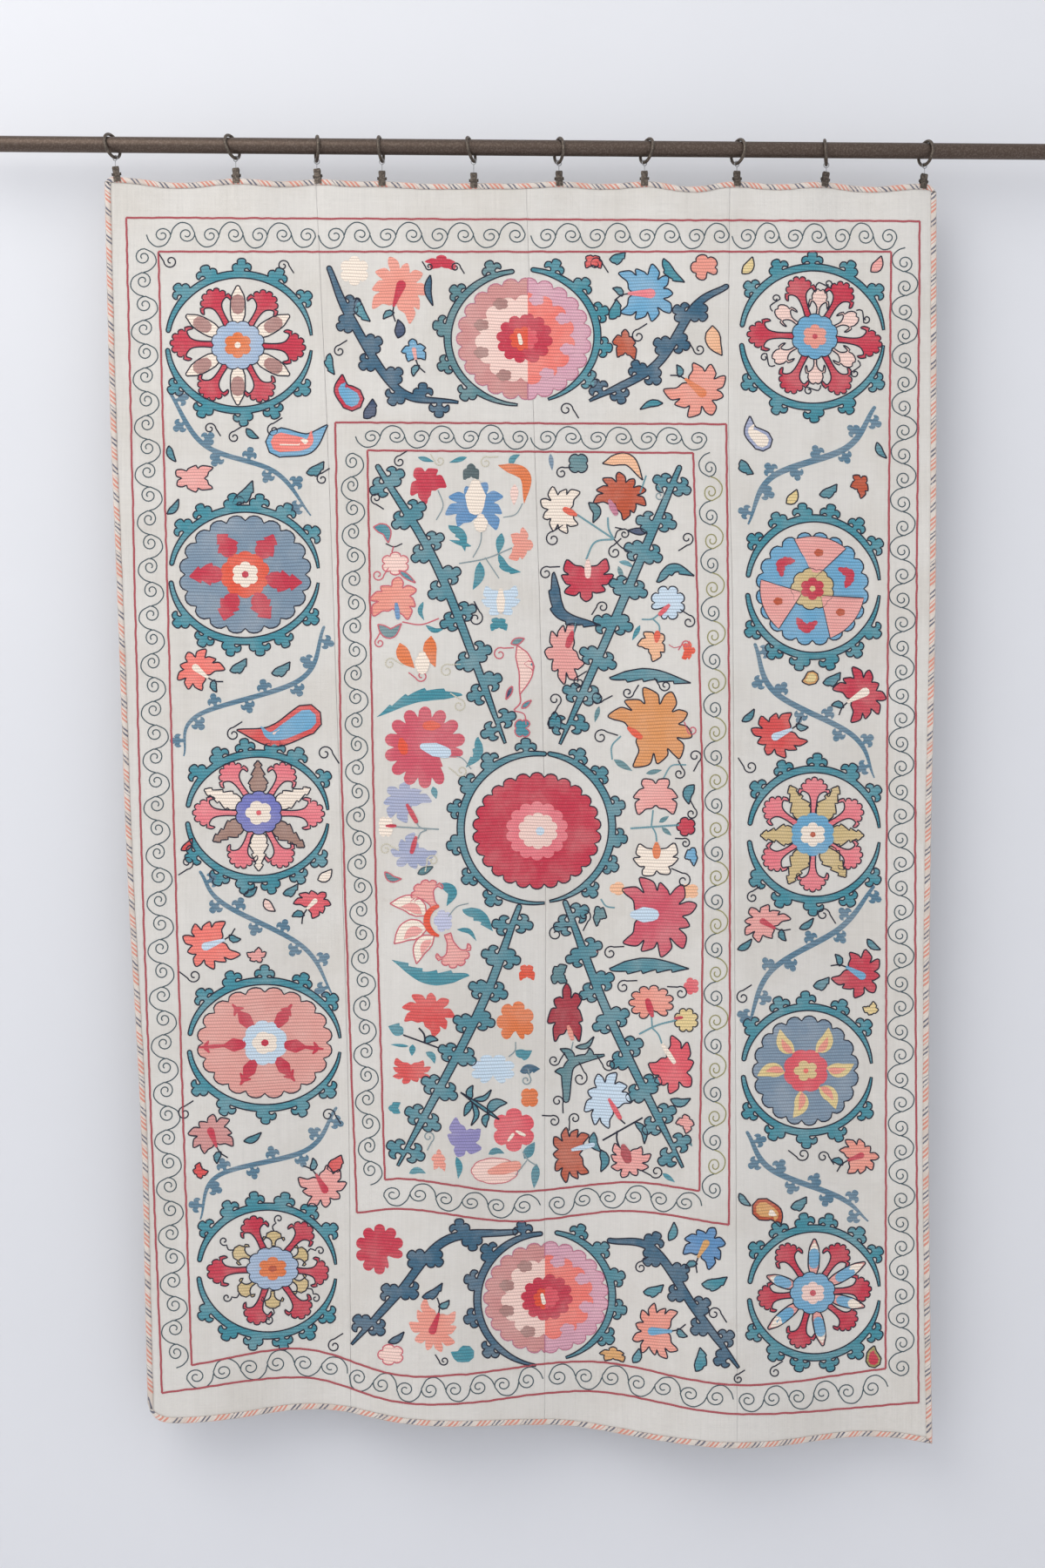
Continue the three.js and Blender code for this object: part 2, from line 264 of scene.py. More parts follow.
def depth(x, z):
    """Depth of the cloth towards the wall: the top's wave fades as the long folds grow."""
    top = np.interp(x, TABLE_X, TABLE_TOP)
    below = np.maximum(top - z - STRAIGHT_TOP, 0)
    s = np.clip(below / HEM_DEPTH, 0, 1)
    folds = 0
    for at, half, deep, run in FOLDS:
        folds = folds + deep * np.exp(-(((x - at - run * (1 - s)) / half) ** 2))
    wave = np.interp(x, TABLE_X, TABLE_WAVE) * np.exp(-below / WAVE_FADE)
    return wave + folds * s * (1.6 - 0.6 * s) - crease_height(x, z)


def on_cloth(x, z, out):
    """Points in front of the cloth's middle sheet by out, or behind it where out is minus."""
    x, z, out = np.broadcast_arrays(np.asarray(x, float), z, out)
    step = 1.0
    across = (depth(x + step, z) - depth(x - step, z)) / (2 * step)
    down = (depth(x, z + step) - depth(x, z - step)) / (2 * step)
    size = np.sqrt(across**2 + 1 + down**2)
    return np.stack([x + across / size * out, depth(x, z) - out / size, z + down / size * out], -1)


def seen_spots(spots):
    """Where the camera's rays through the photograph's spots meet the cloth, as x and z."""
    eye = np.array(EYE)
    aim = np.array(AIM)
    away = np.linalg.norm(aim - eye)
    forward = (aim - eye) / away
    right = np.array([forward[1], -forward[0], 0.0])
    offset = (np.asarray(spots, complex) - PHOTO_MIDDLE) * PIXEL / away
    rays = forward + offset.real[:, None] * right - offset.imag[:, None] * np.array([0, 0, 1.0])
    y = np.zeros(len(rays))
    for _ in range(4):
        t = (y - eye[1]) / rays[:, 1]
        x = eye[0] + rays[:, 0] * t
        z = eye[2] + rays[:, 2] * t
        y = depth(x, z)
    return x, z


# Materials


class Value:
    """A number in a material's graph that sums like an ordinary one."""

    def __init__(self, graph, socket):
        self.graph = graph
        self.socket = socket

    def __add__(self, other):
        return self.graph.math("ADD", self, other)

    def __sub__(self, other):
        return self.graph.math("SUBTRACT", self, other)

    def __rsub__(self, other):
        return self.graph.math("SUBTRACT", other, self)

    def __mul__(self, other):
        return self.graph.math("MULTIPLY", self, other)

    def __truediv__(self, other):
        return self.graph.math("DIVIDE", self, other)

    def __pow__(self, other):
        return self.graph.math("POWER", self, other)

    __radd__ = __add__
    __rmul__ = __mul__


class Graph:
    """One procedural material."""

    def __init__(self, name):
        self.material = bpy.data.materials.new(name)
        self.material.use_nodes = True
        self.tree = self.material.node_tree
        self.surface = self.tree.nodes["Principled BSDF"]

    def connect(self, socket, value):
        if isinstance(value, Value):
            self.tree.links.new(value.socket, socket)
        else:
            socket.default_value = value

    def node(self, kind, settings=None, **sockets):
        made = self.tree.nodes.new(kind)
        for name, value in (settings or {}).items():
            setattr(made, name, value)
        for name, value in sockets.items():
            self.connect(made.inputs[name], value)
        return made

    def math(self, operation, *values):
        made = self.node("ShaderNodeMath", {"operation": operation})
        for socket, value in zip(made.inputs, values):
            self.connect(socket, value)
        return Value(self, made.outputs[0])

    def sine(self, value):
        return self.math("SINE", value)

    def fraction(self, value):
        return self.math("FRACT", value)

    def size(self, value):
        return self.math("ABSOLUTE", value)

    def step(self, value, low, high):
        """0 below low, 1 above high, and smooth between."""
        made = self.node("ShaderNodeMapRange", {"interpolation_type": "SMOOTHSTEP"})
        for name, number in (("Value", value), ("From Min", low), ("From Max", high)):
            self.connect(made.inputs[name], number)
        return Value(self, made.outputs[0])

    def place(self):
        """The object's own coordinates, in millimetres."""
        made = self.node("ShaderNodeTexCoord")
        scaled = self.node("ShaderNodeVectorMath", {"operation": "SCALE"})
        self.connect(scaled.inputs[0], Value(self, made.outputs["Object"]))
        scaled.inputs["Scale"].default_value = 1 / MM
        return Value(self, scaled.outputs[0])

    def parts(self, vector):
        made = self.node("ShaderNodeSeparateXYZ", Vector=vector)
        return [Value(self, socket) for socket in made.outputs]

    def stretched(self, vector, factors):
        made = self.node("ShaderNodeVectorMath", {"operation": "MULTIPLY"})
        self.connect(made.inputs[0], vector)
        made.inputs[1].default_value = factors
        return Value(self, made.outputs[0])

    def noise(self, vector, scale, detail=2.0, roughness=0.5):
        settings = {"Scale": scale, "Detail": detail, "Roughness": roughness}
        made = self.node("ShaderNodeTexNoise", Vector=vector, **settings)
        return Value(self, made.outputs[0])

    def blend(self, factor, a, b, kind="MIX"):
        made = self.node("ShaderNodeMix", {"data_type": "RGBA", "blend_type": kind, "clamp_factor": True})
        self.connect(made.inputs[0], factor)
        for socket, colour in ((made.inputs[6], a), (made.inputs[7], b)):
            self.connect(socket, colour if isinstance(colour, Value) else (*colour, 1))
        return Value(self, made.outputs[2])

    def shaded(self, colour, amount):
        """A colour made lighter or darker by a number round 1."""
        made = self.node("ShaderNodeVectorMath", {"operation": "SCALE"})
        self.connect(made.inputs[0], colour)
        self.connect(made.inputs["Scale"], amount)
        return Value(self, made.outputs[0])

    def attribute(self, name, output):
        made = self.node("ShaderNodeAttribute", {"attribute_name": name})
        return Value(self, made.outputs[output])

    def finish(self, colour, roughness, height=None, lift=0.3, metallic=0.0, sheen=0.0):
        self.connect(self.surface.inputs["Base Color"], colour)
        self.connect(self.surface.inputs["Roughness"], roughness)
        self.connect(self.surface.inputs["Metallic"], metallic)
        self.surface.inputs["Sheen Weight"].default_value = sheen
        if height is not None:
            bump = self.node("ShaderNodeBump", Height=height, Distance=lift * MM)
            self.connect(self.surface.inputs["Normal"], Value(self, bump.outputs[0]))
        return self.material


def cotton():
    """Hand-loomed ivory cotton with slubs, yellowed here and there."""
    g = Graph("ivory_cotton")
    at = g.place()
    x, _, z = g.parts(at)
    warp_drift = g.noise(g.stretched(at, (1, 1, 0.05)), 0.09, 3) * 3
    weft_drift = g.noise(g.stretched(at, (0.05, 1, 1)), 0.09, 3) * 3
    warp = g.sine((x + warp_drift) * (2 * math.pi / WARP_PITCH))
    weft = g.sine((z + weft_drift) * (2 * math.pi / WEFT_PITCH))
    slubs = g.noise(g.stretched(at, (0.9, 1, 0.02)), 0.5, 3, 0.65)
    weft_slubs = g.noise(g.stretched(at, (0.02, 1, 0.9)), 0.5, 3, 0.65)
    aged = g.noise(at, 0.006, 4, 0.6)
    tone = g.blend(g.step(aged, 0.42, 0.66), (0.865, 0.825, 0.76), (0.815, 0.768, 0.695))
    stains = g.step(g.noise(at, 0.011, 5, 0.7), 0.64, 0.74)
    tone = g.blend(stains * 0.2, tone, (0.62, 0.53, 0.42))
    shade = 0.86 + slubs * 0.14 + weft_slubs * 0.10 + warp * weft * 0.02
    height = warp * 0.35 + weft * 0.35 + slubs + weft_slubs
    return g.finish(g.shaded(tone, shade), 0.93, height, 0.35, sheen=0.1)


def striped_cotton():
    """Narrow slanting stripes, slate and coral by turns on cream, worn at the fold."""
    g = Graph("striped_binding")
    place = g.attribute("run", "Vector")
    run, across, _ = g.parts(place)
    wobble = g.noise(place, 0.05, 3) * 6
    slant = run + across * STRIPE_SLANT + wobble
    group = g.fraction(slant / STRIPE_GROUP)
    stripe = g.size(g.fraction(slant / STRIPE_PITCH) - 0.5) * 2
    thin = g.step(stripe, 0.5, 0.62)
    worn = g.noise(place, 0.4, 4, 0.7)
    slate = g.step(group, 0.03, 0.06) * (1 - g.step(group, 0.36, 0.4)) * thin
    coral = g.step(group, 0.46, 0.5) * (1 - g.step(group, 0.9, 0.94)) * g.step(stripe, 0.4, 0.55)
    aged = g.step(g.noise(place, 0.03, 3), 0.4, 0.65)
    base = g.blend(aged, (0.76, 0.68, 0.60), (0.68, 0.58, 0.5))
    colour = g.blend(coral * g.step(worn, 0.2, 0.45) * 0.85, base, (0.70, 0.22, 0.15))
    colour = g.blend(slate * g.step(worn, 0.3, 0.5) * 0.95, colour, (0.10, 0.11, 0.16))
    return g.finish(g.shaded(colour, 0.8 + worn * 0.4), 0.95, worn + stripe * 0.4, 0.4, sheen=0.1)


def laid_thread():
    """Laid rows of thread, each tied down by tiny stitches; the dye is kept with each stitch. The colour is
    darkened in the grooves between the rows as painted shade.
    """
    g = Graph("embroidery_thread")
    at = g.place()
    x, _, z = g.parts(at)
    drift = g.noise(g.stretched(at, (0.3, 0, 1)), 0.02, 2) * 2.5
    row = z / ROW_PITCH + drift
    row_ridge_and_groove_shade = g.size(g.sine(row * math.pi)) ** 0.55
    odd = g.fraction(row * 0.5)
    tie = g.size(g.sine((x + g.step(odd, 0.49, 0.51) * (TIE_PITCH / 2)) * (math.pi / TIE_PITCH)))
    floss = g.noise(g.stretched(at, (0.05, 1, 1.2)), 0.9, 3, 0.6)
    faded = g.noise(at, 0.02, 4, 0.6)
    worn = g.noise(at, 0.25, 3, 0.7)
    # Painted shade: the colour darkens in the grooves between the rows, where the row ridge is low; ties,
    # floss and fading vary the colour itself
    shade = 0.38 + row_ridge_and_groove_shade * 0.52 + tie * 0.16 + floss * 0.16 + faded * 0.16
    dye = g.attribute("dye", "Color")
    faint = g.step(faded, 0.35, 0.75) * 0.16 + g.step(worn, 0.55, 0.8) * 0.12
    colour = g.blend(faint, dye, (0.72, 0.64, 0.56))
    return g.finish(g.shaded(colour, shade), 0.72, row_ridge_and_groove_shade + tie * 0.35 + floss * 0.4, 0.55, sheen=0.15)


def corded_thread():
    """Chain-stitched thread: a bead for each stitch along the line, with painted shade darkening the colour
    between the beads.
    """
    g = Graph("chain_stitch_thread")
    run = g.attribute("run", "Vector")
    length, _, _ = g.parts(run)
    chain_bead_and_gap_shade = g.size(g.sine(length * (math.pi / CHAIN_PITCH)))
    fuzz = g.noise(run, 0.8, 3, 0.7)
    # Painted shade: the colour darkens in the gaps between the chain's beads; fuzz varies the colour itself
    shade = 0.72 + chain_bead_and_gap_shade * 0.30 + fuzz * 0.25
    return g.finish(g.shaded(g.attribute("dye", "Color"), shade), 0.8, chain_bead_and_gap_shade + fuzz * 0.5, 0.4, sheen=0.1)


def metal(name, colour, rubbed, roughness, grain):
    """Plated metal, rubbed lighter here and there."""
    g = Graph(name)
    at = g.place()
    cloud = g.noise(at, 0.35, 4, 0.6)
    fine = g.noise(g.stretched(at, grain), 2.5, 3, 0.7)
    tone = g.blend(g.step(cloud, 0.42, 0.7), colour, rubbed)
    rough = roughness + cloud * 0.18 + fine * 0.1
    return g.finish(g.shaded(tone, 0.85 + fine * 0.3), rough, fine, 0.05, metallic=0.8)


def plaster(name, colour):
    """A pale wall with a faint cloud in it."""
    g = Graph(name)
    cloud = g.noise(g.place(), 0.004, 3)
    return g.finish(g.shaded(colour, 0.985 + cloud * 0.03), 0.9)


# Meshes


def new_mesh(name, points, faces, material):
    """An object of points in millimetres, riding on root."""
    mesh = bpy.data.meshes.new(name)
    mesh.from_pydata([tuple(p) for p in (np.asarray(points) * MM).tolist()], [], faces)
    mesh.materials.append(material)
    made = bpy.data.objects.new(name, mesh)
    bpy.context.scene.collection.objects.link(made)
    mesh.shade_smooth()
    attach(made, "root")
    return made


def grid_faces(rows, columns, first=0, flip=False):
    faces = []
    for r in range(rows - 1):
        for c in range(columns - 1):
            k = first + r * columns + c
            quad = (k, k + columns, k + columns + 1, k + 1)
            faces.append(quad[::-1] if flip else quad)
    return faces


def flat_map(made):
    """A bake map laid out as the cloth hangs."""
    mesh = made.data
    layer = mesh.uv_layers.new(name="OFBake")
    corners = np.empty(len(mesh.loops), np.int32)
    mesh.loops.foreach_get("vertex_index", corners)
    places = np.empty(len(mesh.vertices) * 3)
    mesh.vertices.foreach_get("co", places)
    places = places.reshape(-1, 3)[corners]
    low, high = places.min(0), places.max(0)
    spread = (places - low) / (high - low) * 0.99 + 0.005
    layer.data.foreach_set("uv", spread[:, [0, 2]].ravel())


def vector_attribute(mesh, name, values):
    made = mesh.attributes.new(name, "FLOAT_VECTOR", "POINT")
    made.data.foreach_set("vector", np.asarray(values, float).ravel())


def strip_place(number, column, row, margins):
    """x and z at a strip's column and row, both from 0 to 1."""
    left, right, ends = margins
    z = EDGE_Z[0] + (HEM_Z[8] - EDGE_Z[0]) * row
    for _ in range(6):
        start = strip_edge(number, z) + left
        x = start + (strip_edge(number + 1, z) - right - start) * column
        top = np.interp(x, TABLE_X, TABLE_TOP) - ends
        z = top + (hem(x) + ends - top) * row
    return x, z


def cloth_strip(number, material):
    """One hand-loomed strip, rounded at its edges and drawn down a little at the seams."""
    width, height = 44, 200
    inner = np.linspace(0, 1, width - 6)
    column = np.sort(np.concatenate([inner, [0.004, 0.01, 0.018, 0.982, 0.99, 0.996]]))
    row = np.linspace(0, 1, height) ** 1.03
    columns, rows = np.meshgrid(column, row)
    first, last = number == 0, number == STRIP_COUNT - 1
    margins = (EDGE_MARGIN if first else SEAM_GAP, EDGE_MARGIN if last else SEAM_GAP, EDGE_MARGIN)
    x, z = strip_place(number, columns.ravel(), rows.ravel(), margins)
    wide = STRIP_WIDTH / MM
    share = columns.ravel() * wide
    dip = np.zeros(len(x))
    if not first:
        dip += np.exp(-((share / SEAM_DIP) ** 2))
    if not last:
        dip += np.exp(-(((wide - share) / SEAM_DIP) ** 2))
    front = on_cloth(x, z, CLOTH_THICK / 2 - dip * 0.25)
    back = on_cloth(x, z, -CLOTH_THICK / 2 + dip * 0.02)
    count = width * height
    faces = grid_faces(height, width) + grid_faces(height, width, count, True)
    rim = list(range(width))
    rim += [r * width + width - 1 for r in range(1, height)]
    rim += [(height - 1) * width + c for c in range(width - 2, -1, -1)]
    rim += [r * width for r in range(height - 2, 0, -1)]
    for a, b in zip(rim, rim[1:] + rim[:1]):
        faces.append((b, a, a + count, b + count)[::-1])
    name = f"cloth_strip_{number + 1}"
    made = new_mesh(name, np.concatenate([front, back]), faces, material)
    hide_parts(f"panel_{number + 1}")
    return made


def binding_strip(name, spots, inward, material):
    """The striped strip folded over an edge: a row of folds along the edge's spots."""
    half = CLOTH_THICK / 2 + BINDING_GAP
    outer = half + BINDING_THICK
    turn = [math.pi / 2 - k * math.pi / 6 for k in range(7)]
    insets = (BINDING_WIDTH, BINDING_MIDDLE, BINDING_INSIDE)
    front = [(inset, outer) for inset in insets[:2]]
    fold = [(FOLD_DEPTH - math.cos(a) * FOLD_DEPTH, math.sin(a) * outer) for a in turn]
    behind = [(inset, -outer) for inset in insets[1::-1]]
    inside = [(inset, -half) for inset in insets] + [(inset, half) for inset in insets[::-1]]
    section = front + fold + behind + inside
    points, runs, run = [], [], 0.0
    frayed = np.array([chance.uniform(*FRAY) for _ in spots])
    frayed = np.convolve(frayed, [0.25, 0.5, 0.25], "same")
    for k, (x, z, step) in enumerate(spots):
        if k:
            run += step
        for n, (inset, out) in enumerate(section):
            edge = inset + (frayed[k] if inset == BINDING_WIDTH else 0)
            dx, dz = inward(x, z, edge, k)
            points.append((dx, dz, out))
            runs.append((run, n * SECTION_STEP, 0))
    points = np.array(points)
    places = on_cloth(points[:, 0], points[:, 1], points[:, 2])
    size = len(section)
    faces = []
    for k in range(len(spots) - 1):
        for n in range(size):
            m = (n + 1) % size
            faces.append((k * size + n, k * size + m, (k + 1) * size + m, (k + 1) * size + n))
    faces.append(tuple(range(size))[::-1])
    faces.append(tuple((len(spots) - 1) * size + n for n in range(size)))
    made = new_mesh(name, places, faces, material)
    vector_attribute(made.data, "run", runs)
    bpy.context.view_layer.objects.active = made
    bpy.ops.object.select_all(action="DESELECT")
    made.select_set(True)
    bpy.ops.object.mode_set(mode="EDIT")
    bpy.ops.mesh.select_all(action="SELECT")
    bpy.ops.mesh.normals_make_consistent(inside=False)
    bpy.ops.object.mode_set(mode="OBJECT")
    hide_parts(name.replace("striped_", ""))
    return made


def bindings(material):
    """The top, bottom, left and right binding."""
    made = []
    for name, row in (("striped_binding_top", 0.0), ("striped_binding_bottom", 1.0)):
        x0 = strip_place(0, 0.0, row, (0, 0, 0))[0]
        x1 = strip_place(STRIP_COUNT - 1, 1.0, row, (0, 0, 0))[0]
        xs = np.linspace(float(x0), float(x1), 260)
        last = len(xs) - 1

        def inward(x, z, inset, k, row=row, last=last):
            shift = inset + MITRE if k == 0 else -inset - MITRE if k == last else 0
            x = x + shift
            z = float(np.interp(x, TABLE_X, TABLE_TOP)) - inset if row == 0 else float(hem(x)) + inset
            return x, z

        step = float(xs[1] - xs[0])
        made.append(binding_strip(name, [(float(x), 0, step) for x in xs], inward, material))
    for name, number, way in (("striped_binding_left", 0, 1), ("striped_binding_right", STRIP_COUNT, -1)):
        rows = np.linspace(0, 1, 300)
        side = 0.0 if number == 0 else 1.0
        strip = min(number, STRIP_COUNT - 1)
        x, z = strip_place(strip, np.full(len(rows), side), rows, (0, 0, 0))
        last = len(rows) - 1

        def inward(x, z, inset, k, number=number, way=way, last=last):
            if k in (0, last):
                x = x + way * inset
                top = float(np.interp(x, TABLE_X, TABLE_TOP))
                return x, top - inset - MITRE if k == 0 else float(hem(x)) + inset + MITRE
            return float(strip_edge(number, z)) + way * inset, z

        step = float(z[0] - z[-1]) / last
        spots = [(float(a), float(b), step) for a, b in zip(x, z)]
        made.append(binding_strip(name, spots, inward, material))
    return made


# Embroidery

COLOURS = {
    "ink": (38, 40, 55),
    "green_ink": (70, 86, 92),
    "olive_ink": (150, 145, 95),
    "border_red": (172, 82, 88),
    "pink_ink": (205, 105, 115),
    "crimson": (196, 52, 72),
    "pink_red": (222, 88, 98),
    "rose": (232, 120, 128),
    "pink": (234, 160, 152),
    "pale_pink": (242, 205, 192),
    "dusty_rose": (205, 140, 135),
    "mauve_brown": (170, 125, 118),
    "mauve": (190, 120, 140),
    "lilac_pink": (215, 160, 175),
    "salmon": (234, 150, 132),
    "coral": (240, 120, 108),
    "orange_red": (226, 82, 55),
    "orange": (224, 118, 66),
    "rust": (186, 82, 52),
    "ochre": (216, 160, 100),
    "tan": (208, 182, 130),
    "mustard": (220, 192, 138),
    "yellow": (226, 200, 140),
    "cream": (243, 226, 208),
    "olive": (165, 150, 95),
    "brown": (160, 125, 112),
    "sky": (106, 164, 198),
    "pale_blue": (196, 214, 228),
    "lilac": (160, 166, 192),
    "violet": (112, 116, 184),
    "grey_blue": (162, 182, 206),
    "slate_blue": (122, 142, 160),
    "blue": (94, 140, 184),
    "teal": (64, 136, 150),
    "field_teal": (80, 134, 146),
    "grey_teal": (92, 132, 138),
    "deep_teal": (52, 94, 118),
    "navy": (52, 72, 102),
    "vine_slate": (88, 122, 142),
    "pine": (48, 78, 84),
    "rose_red": (204, 82, 98),
    "red": (216, 78, 76),
    "wine": (168, 48, 62),
    "peach": (240, 182, 142),
    "amber": (218, 146, 90),
    "iris": (142, 135, 182),
    "soft_salmon": (224, 157, 146),
    "lilac_pale": (190, 192, 216),
    "stem_grey": (142, 156, 158),
    "stem_pale": (205, 198, 178),
    "stem_teal": (112, 152, 160),
}


def linear(colour):
    """A dye's screen colour as linear light."""
    return [(c / 255) ** GAMMA for c in colour]


class Stitching:
    """Stitches gathered into one mesh: spots in the photograph, each lifted off the cloth."""

    def __init__(self, name):
        self.name = name
        self.spots = []
        self.lifts = []
        self.dyes = []
        self.runs = []
        self.faces = []
        self.count = 0

    def add(self, spots, lifts, runs, faces, dye):
        self.spots.append(np.asarray(spots, complex))
        self.lifts.append(np.asarray(lifts, float))
        self.runs.append(np.asarray(runs, float))
        self.dyes.append(np.tile(linear(COLOURS[dye]), (len(spots), 1)))
        self.faces += [tuple(k + self.count for k in face) for face in faces]
        self.count += len(spots)

    def make(self, material):
        x, z = seen_spots(np.concatenate(self.spots))
        places = on_cloth(x, z, np.concatenate(self.lifts))
        made = new_mesh(self.name, places, self.faces, material)
        dyes = made.data.color_attributes.new("dye", "FLOAT_COLOR", "POINT")
        solid = np.concatenate(self.dyes)
        dyes.data.foreach_set("color", np.column_stack([solid, np.ones(len(solid))]).ravel())
        vector_attribute(made.data, "run", np.concatenate(self.runs))
        flat_map(made)


vines = Stitching("vine_stitching")
flowers = Stitching("flower_stitching")
outlines = Stitching("outline_stitching")
borders = Stitching("border_stitching")


def toward(angle):
    """A step in the photograph: 0 is right and 90 is up."""
    return cmath.exp(-1j * math.radians(angle))


def smooth(points, closed=False, step=2.6):
    """A smooth line through a few points."""
    p = np.array(points, complex)
    if closed:
        p = np.concatenate([p[-1:], p, p[:2]])
    else:
        p = np.concatenate([[2 * p[0] - p[1]], p, [2 * p[-1] - p[-2]]])
    line = []
    for a, b, c, d in zip(p, p[1:], p[2:], p[3:]):
        count = max(int(abs(c - b) / step), 1)
        t = np.arange(count) / count
        square = 2 * a - 5 * b + 4 * c - d
        cube = 3 * b - a - 3 * c + d
        line.append(0.5 * (2 * b + (c - a) * t + square * t**2 + cube * t**3))
    if not closed:
        line.append(p[-2:-1])
    return np.concatenate(line)


def lengths(line):
    """How far along a line each of its spots is."""
    return np.concatenate([[0.0], np.cumsum(np.abs(np.diff(line)))])


def sideways(line):
    """The right-hand side of each place on a line."""
    ways = np.gradient(line)
    return ways / np.maximum(np.abs(ways), 1e-6) * 1j


def brush(points, widths, teeth=0, tooth=0.0, sides=(1, 1), step=2.6):
    """A stroke with its half-widths given along it, round where it ends thick, toothed if wanted."""
    line = smooth(points, step=min(step, 1.6) if teeth else step)
    share = lengths(line) / max(lengths(line)[-1], 1e-6)
    half = np.interp(share, np.linspace(0, 1, len(widths)), widths)
    out = sideways(line)
    bite = (1 - (share * teeth) % 1) * tooth if teeth else 0
    inside = np.sin(math.pi * share) ** 0.3
    right = line + out * (half + bite * inside * sides[0])
    left = line - out * (half + bite * inside * sides[1])
    cap = [cmath.exp(1j * math.radians(a)) for a in (-45, 0, 45)]
    end = [line[-1] + out[-1] * -1j * c * widths[-1] for c in cap[::-1]] if widths[-1] > 1.5 else []
    start = [line[0] + out[0] * 1j * c * widths[0] for c in cap[::-1]] if widths[0] > 1.5 else []
    return np.concatenate([right, end, left[::-1], start])


def leaf(start, tip, half, bend=0.0, teeth=0, tooth=0.0, sides=(1, 1)):
    """A pointed leaf from its foot to its tip, bent to one side."""
    middle = (start + tip) / 2 + (tip - start) * 1j * bend
    profile = [0.3, 0.8 * half, half, 0.85 * half, 0.5 * half, 0.2]
    return brush([start, middle, tip], profile, teeth, tooth, sides)


def scallop(centre, rx, ry, count, dent=0.08, turn=0.0):
    """A round edge of small bows."""
    steps = max(count * 5, 20)
    a = np.arange(steps) / steps * 2 * math.pi
    r = 1 - dent + dent * np.abs(np.sin(a * count / 2)) ** 0.6
    tilt = cmath.exp(-1j * math.radians(turn))
    return centre + (rx * np.cos(a) + 1j * ry * np.sin(a)) * r * tilt


def flare(base, tip, half, lobes=4, stem=4.0, neck=0.5, head=0.3, droop=0.16):
    """A trumpet: a slender stem that opens to turned-back corners under a low row of lobes."""
    way = tip - base
    side = way / abs(way) * 1j
    s = stem / half
    rim = 1 - head
    bell = [(0, s), (neck * 0.6, s * 0.9), (neck, s * 1.3), (rim - 0.06, 0.5), (rim - 0.02, 0.86)]
    corner = [(rim - droop, 1.02), (rim - droop * 0.5, 1.16), (rim + 0.04, 1.08)]
    a = np.linspace(0.12, math.pi - 0.12, lobes * 5 + 1)
    bows = 0.8 + 0.2 * np.abs(np.sin((a - 0.12) / (math.pi - 0.24) * math.pi * lobes)) ** 0.5
    top = [(rim + head * q * math.sin(b), q * math.cos(b)) for b, q in zip(a, bows)]

    def lay(points, sign):
        return np.array([base + way * u + side * half * v * sign for u, v in points])

    up = smooth(lay(bell + corner, 1), step=1.6)
    down = smooth(lay(bell + corner, -1), step=1.6)[::-1]
    return np.concatenate([up, lay(top, 1), down])


def bud(foot, tip, half, stalk):
    """A three-lobed bud on a stalk, with its two side lobes turned back."""
    way = tip - foot
    side = way / abs(way) * 1j
    s = stalk / half
    neck = [(0, s), (0.3, s), (0.36, 0.62)]
    lobe = [(0.22, 0.92), (0.36, 1.1), (0.58, 1.04), (0.7, 0.66)]
    crown = [(0.64, 0.46), (0.84, 0.5), (0.98, 0.26)]
    edge = neck + lobe + crown
    up = [foot + way * u + side * half * v for u, v in edge]
    down = [foot + way * u - side * half * v for u, v in edge]
    return smooth(up + down[::-1], False, 1.5)


def bloom(centre, rx, ry, facing, petals=7, deep=0.34, hook=0.5):
    """A flower seen from the side: plump petals that hook back from the way it faces."""
    span = 142
    width = span * 2 / petals
    points = []
    for k in range(petals):
        middle = -span + width * (k + 0.5)
        lean = hook * width * max(-1, min(1, middle / 60))
        grow = chance.uniform(0.84, 0.96) if k % 3 == 1 else chance.uniform(0.98, 1.1)
        points += [(middle - width * 0.5, 1 - deep), (middle - width * 0.34 + lean * 0.2, 0.84 * grow)]
        points += [(middle + lean * 0.7, grow), (middle + width * 0.36 + lean * 0.2, 0.86 * grow)]
    points += [(span, 1 - deep), (162, 0.5), (180, 0.34), (198, 0.5)]
    turn = toward(facing)
    line = []
    for angle, r in points:
        spot = toward(angle) * turn * r
        line.append(centre + complex(spot.real * rx, spot.imag * ry))
    return smooth(line, True, 1.8)


def petalled(centre, rx, ry, petals, deep=0.25, turn=0.0, gap=None):
    """Round petals; gap is a direction that is left open for the stem."""
    steps = petals * 7
    a = np.arange(steps) / steps * 2 * math.pi
    r = 1 - deep + deep * np.abs(np.sin((a + math.radians(turn)) * petals / 2)) ** 0.55
    if gap is not None:
        off = (np.degrees(a) + gap + 180) % 360 - 180
        r = r * (1 - 0.55 * np.exp(-((off / 16) ** 2)))
    return centre + (rx * np.cos(a) + 1j * ry * np.sin(a)) * r


def curl(centre, radius, angle, hand=1, turns=1.25, tail=()):
    """A spiral ending at its middle; tail holds the spots that lead to it."""
    t = np.linspace(0, 1, int(14 * turns) + 4)
    a = math.radians(angle) + hand * t * turns * 2 * math.pi
    spiral = centre + radius * (1 - 0.78 * t) * np.exp(-1j * a)
    if not len(tail):
        return spiral
    return np.concatenate([smooth([*tail, spiral[0]])[:-1], spiral])


def line_area(loop):
    """A loop's area, minus where it runs the other way round."""
    return 0.5 * np.sum(loop.real * np.roll(loop.imag, -1) - loop.imag * np.roll(loop.real, -1))


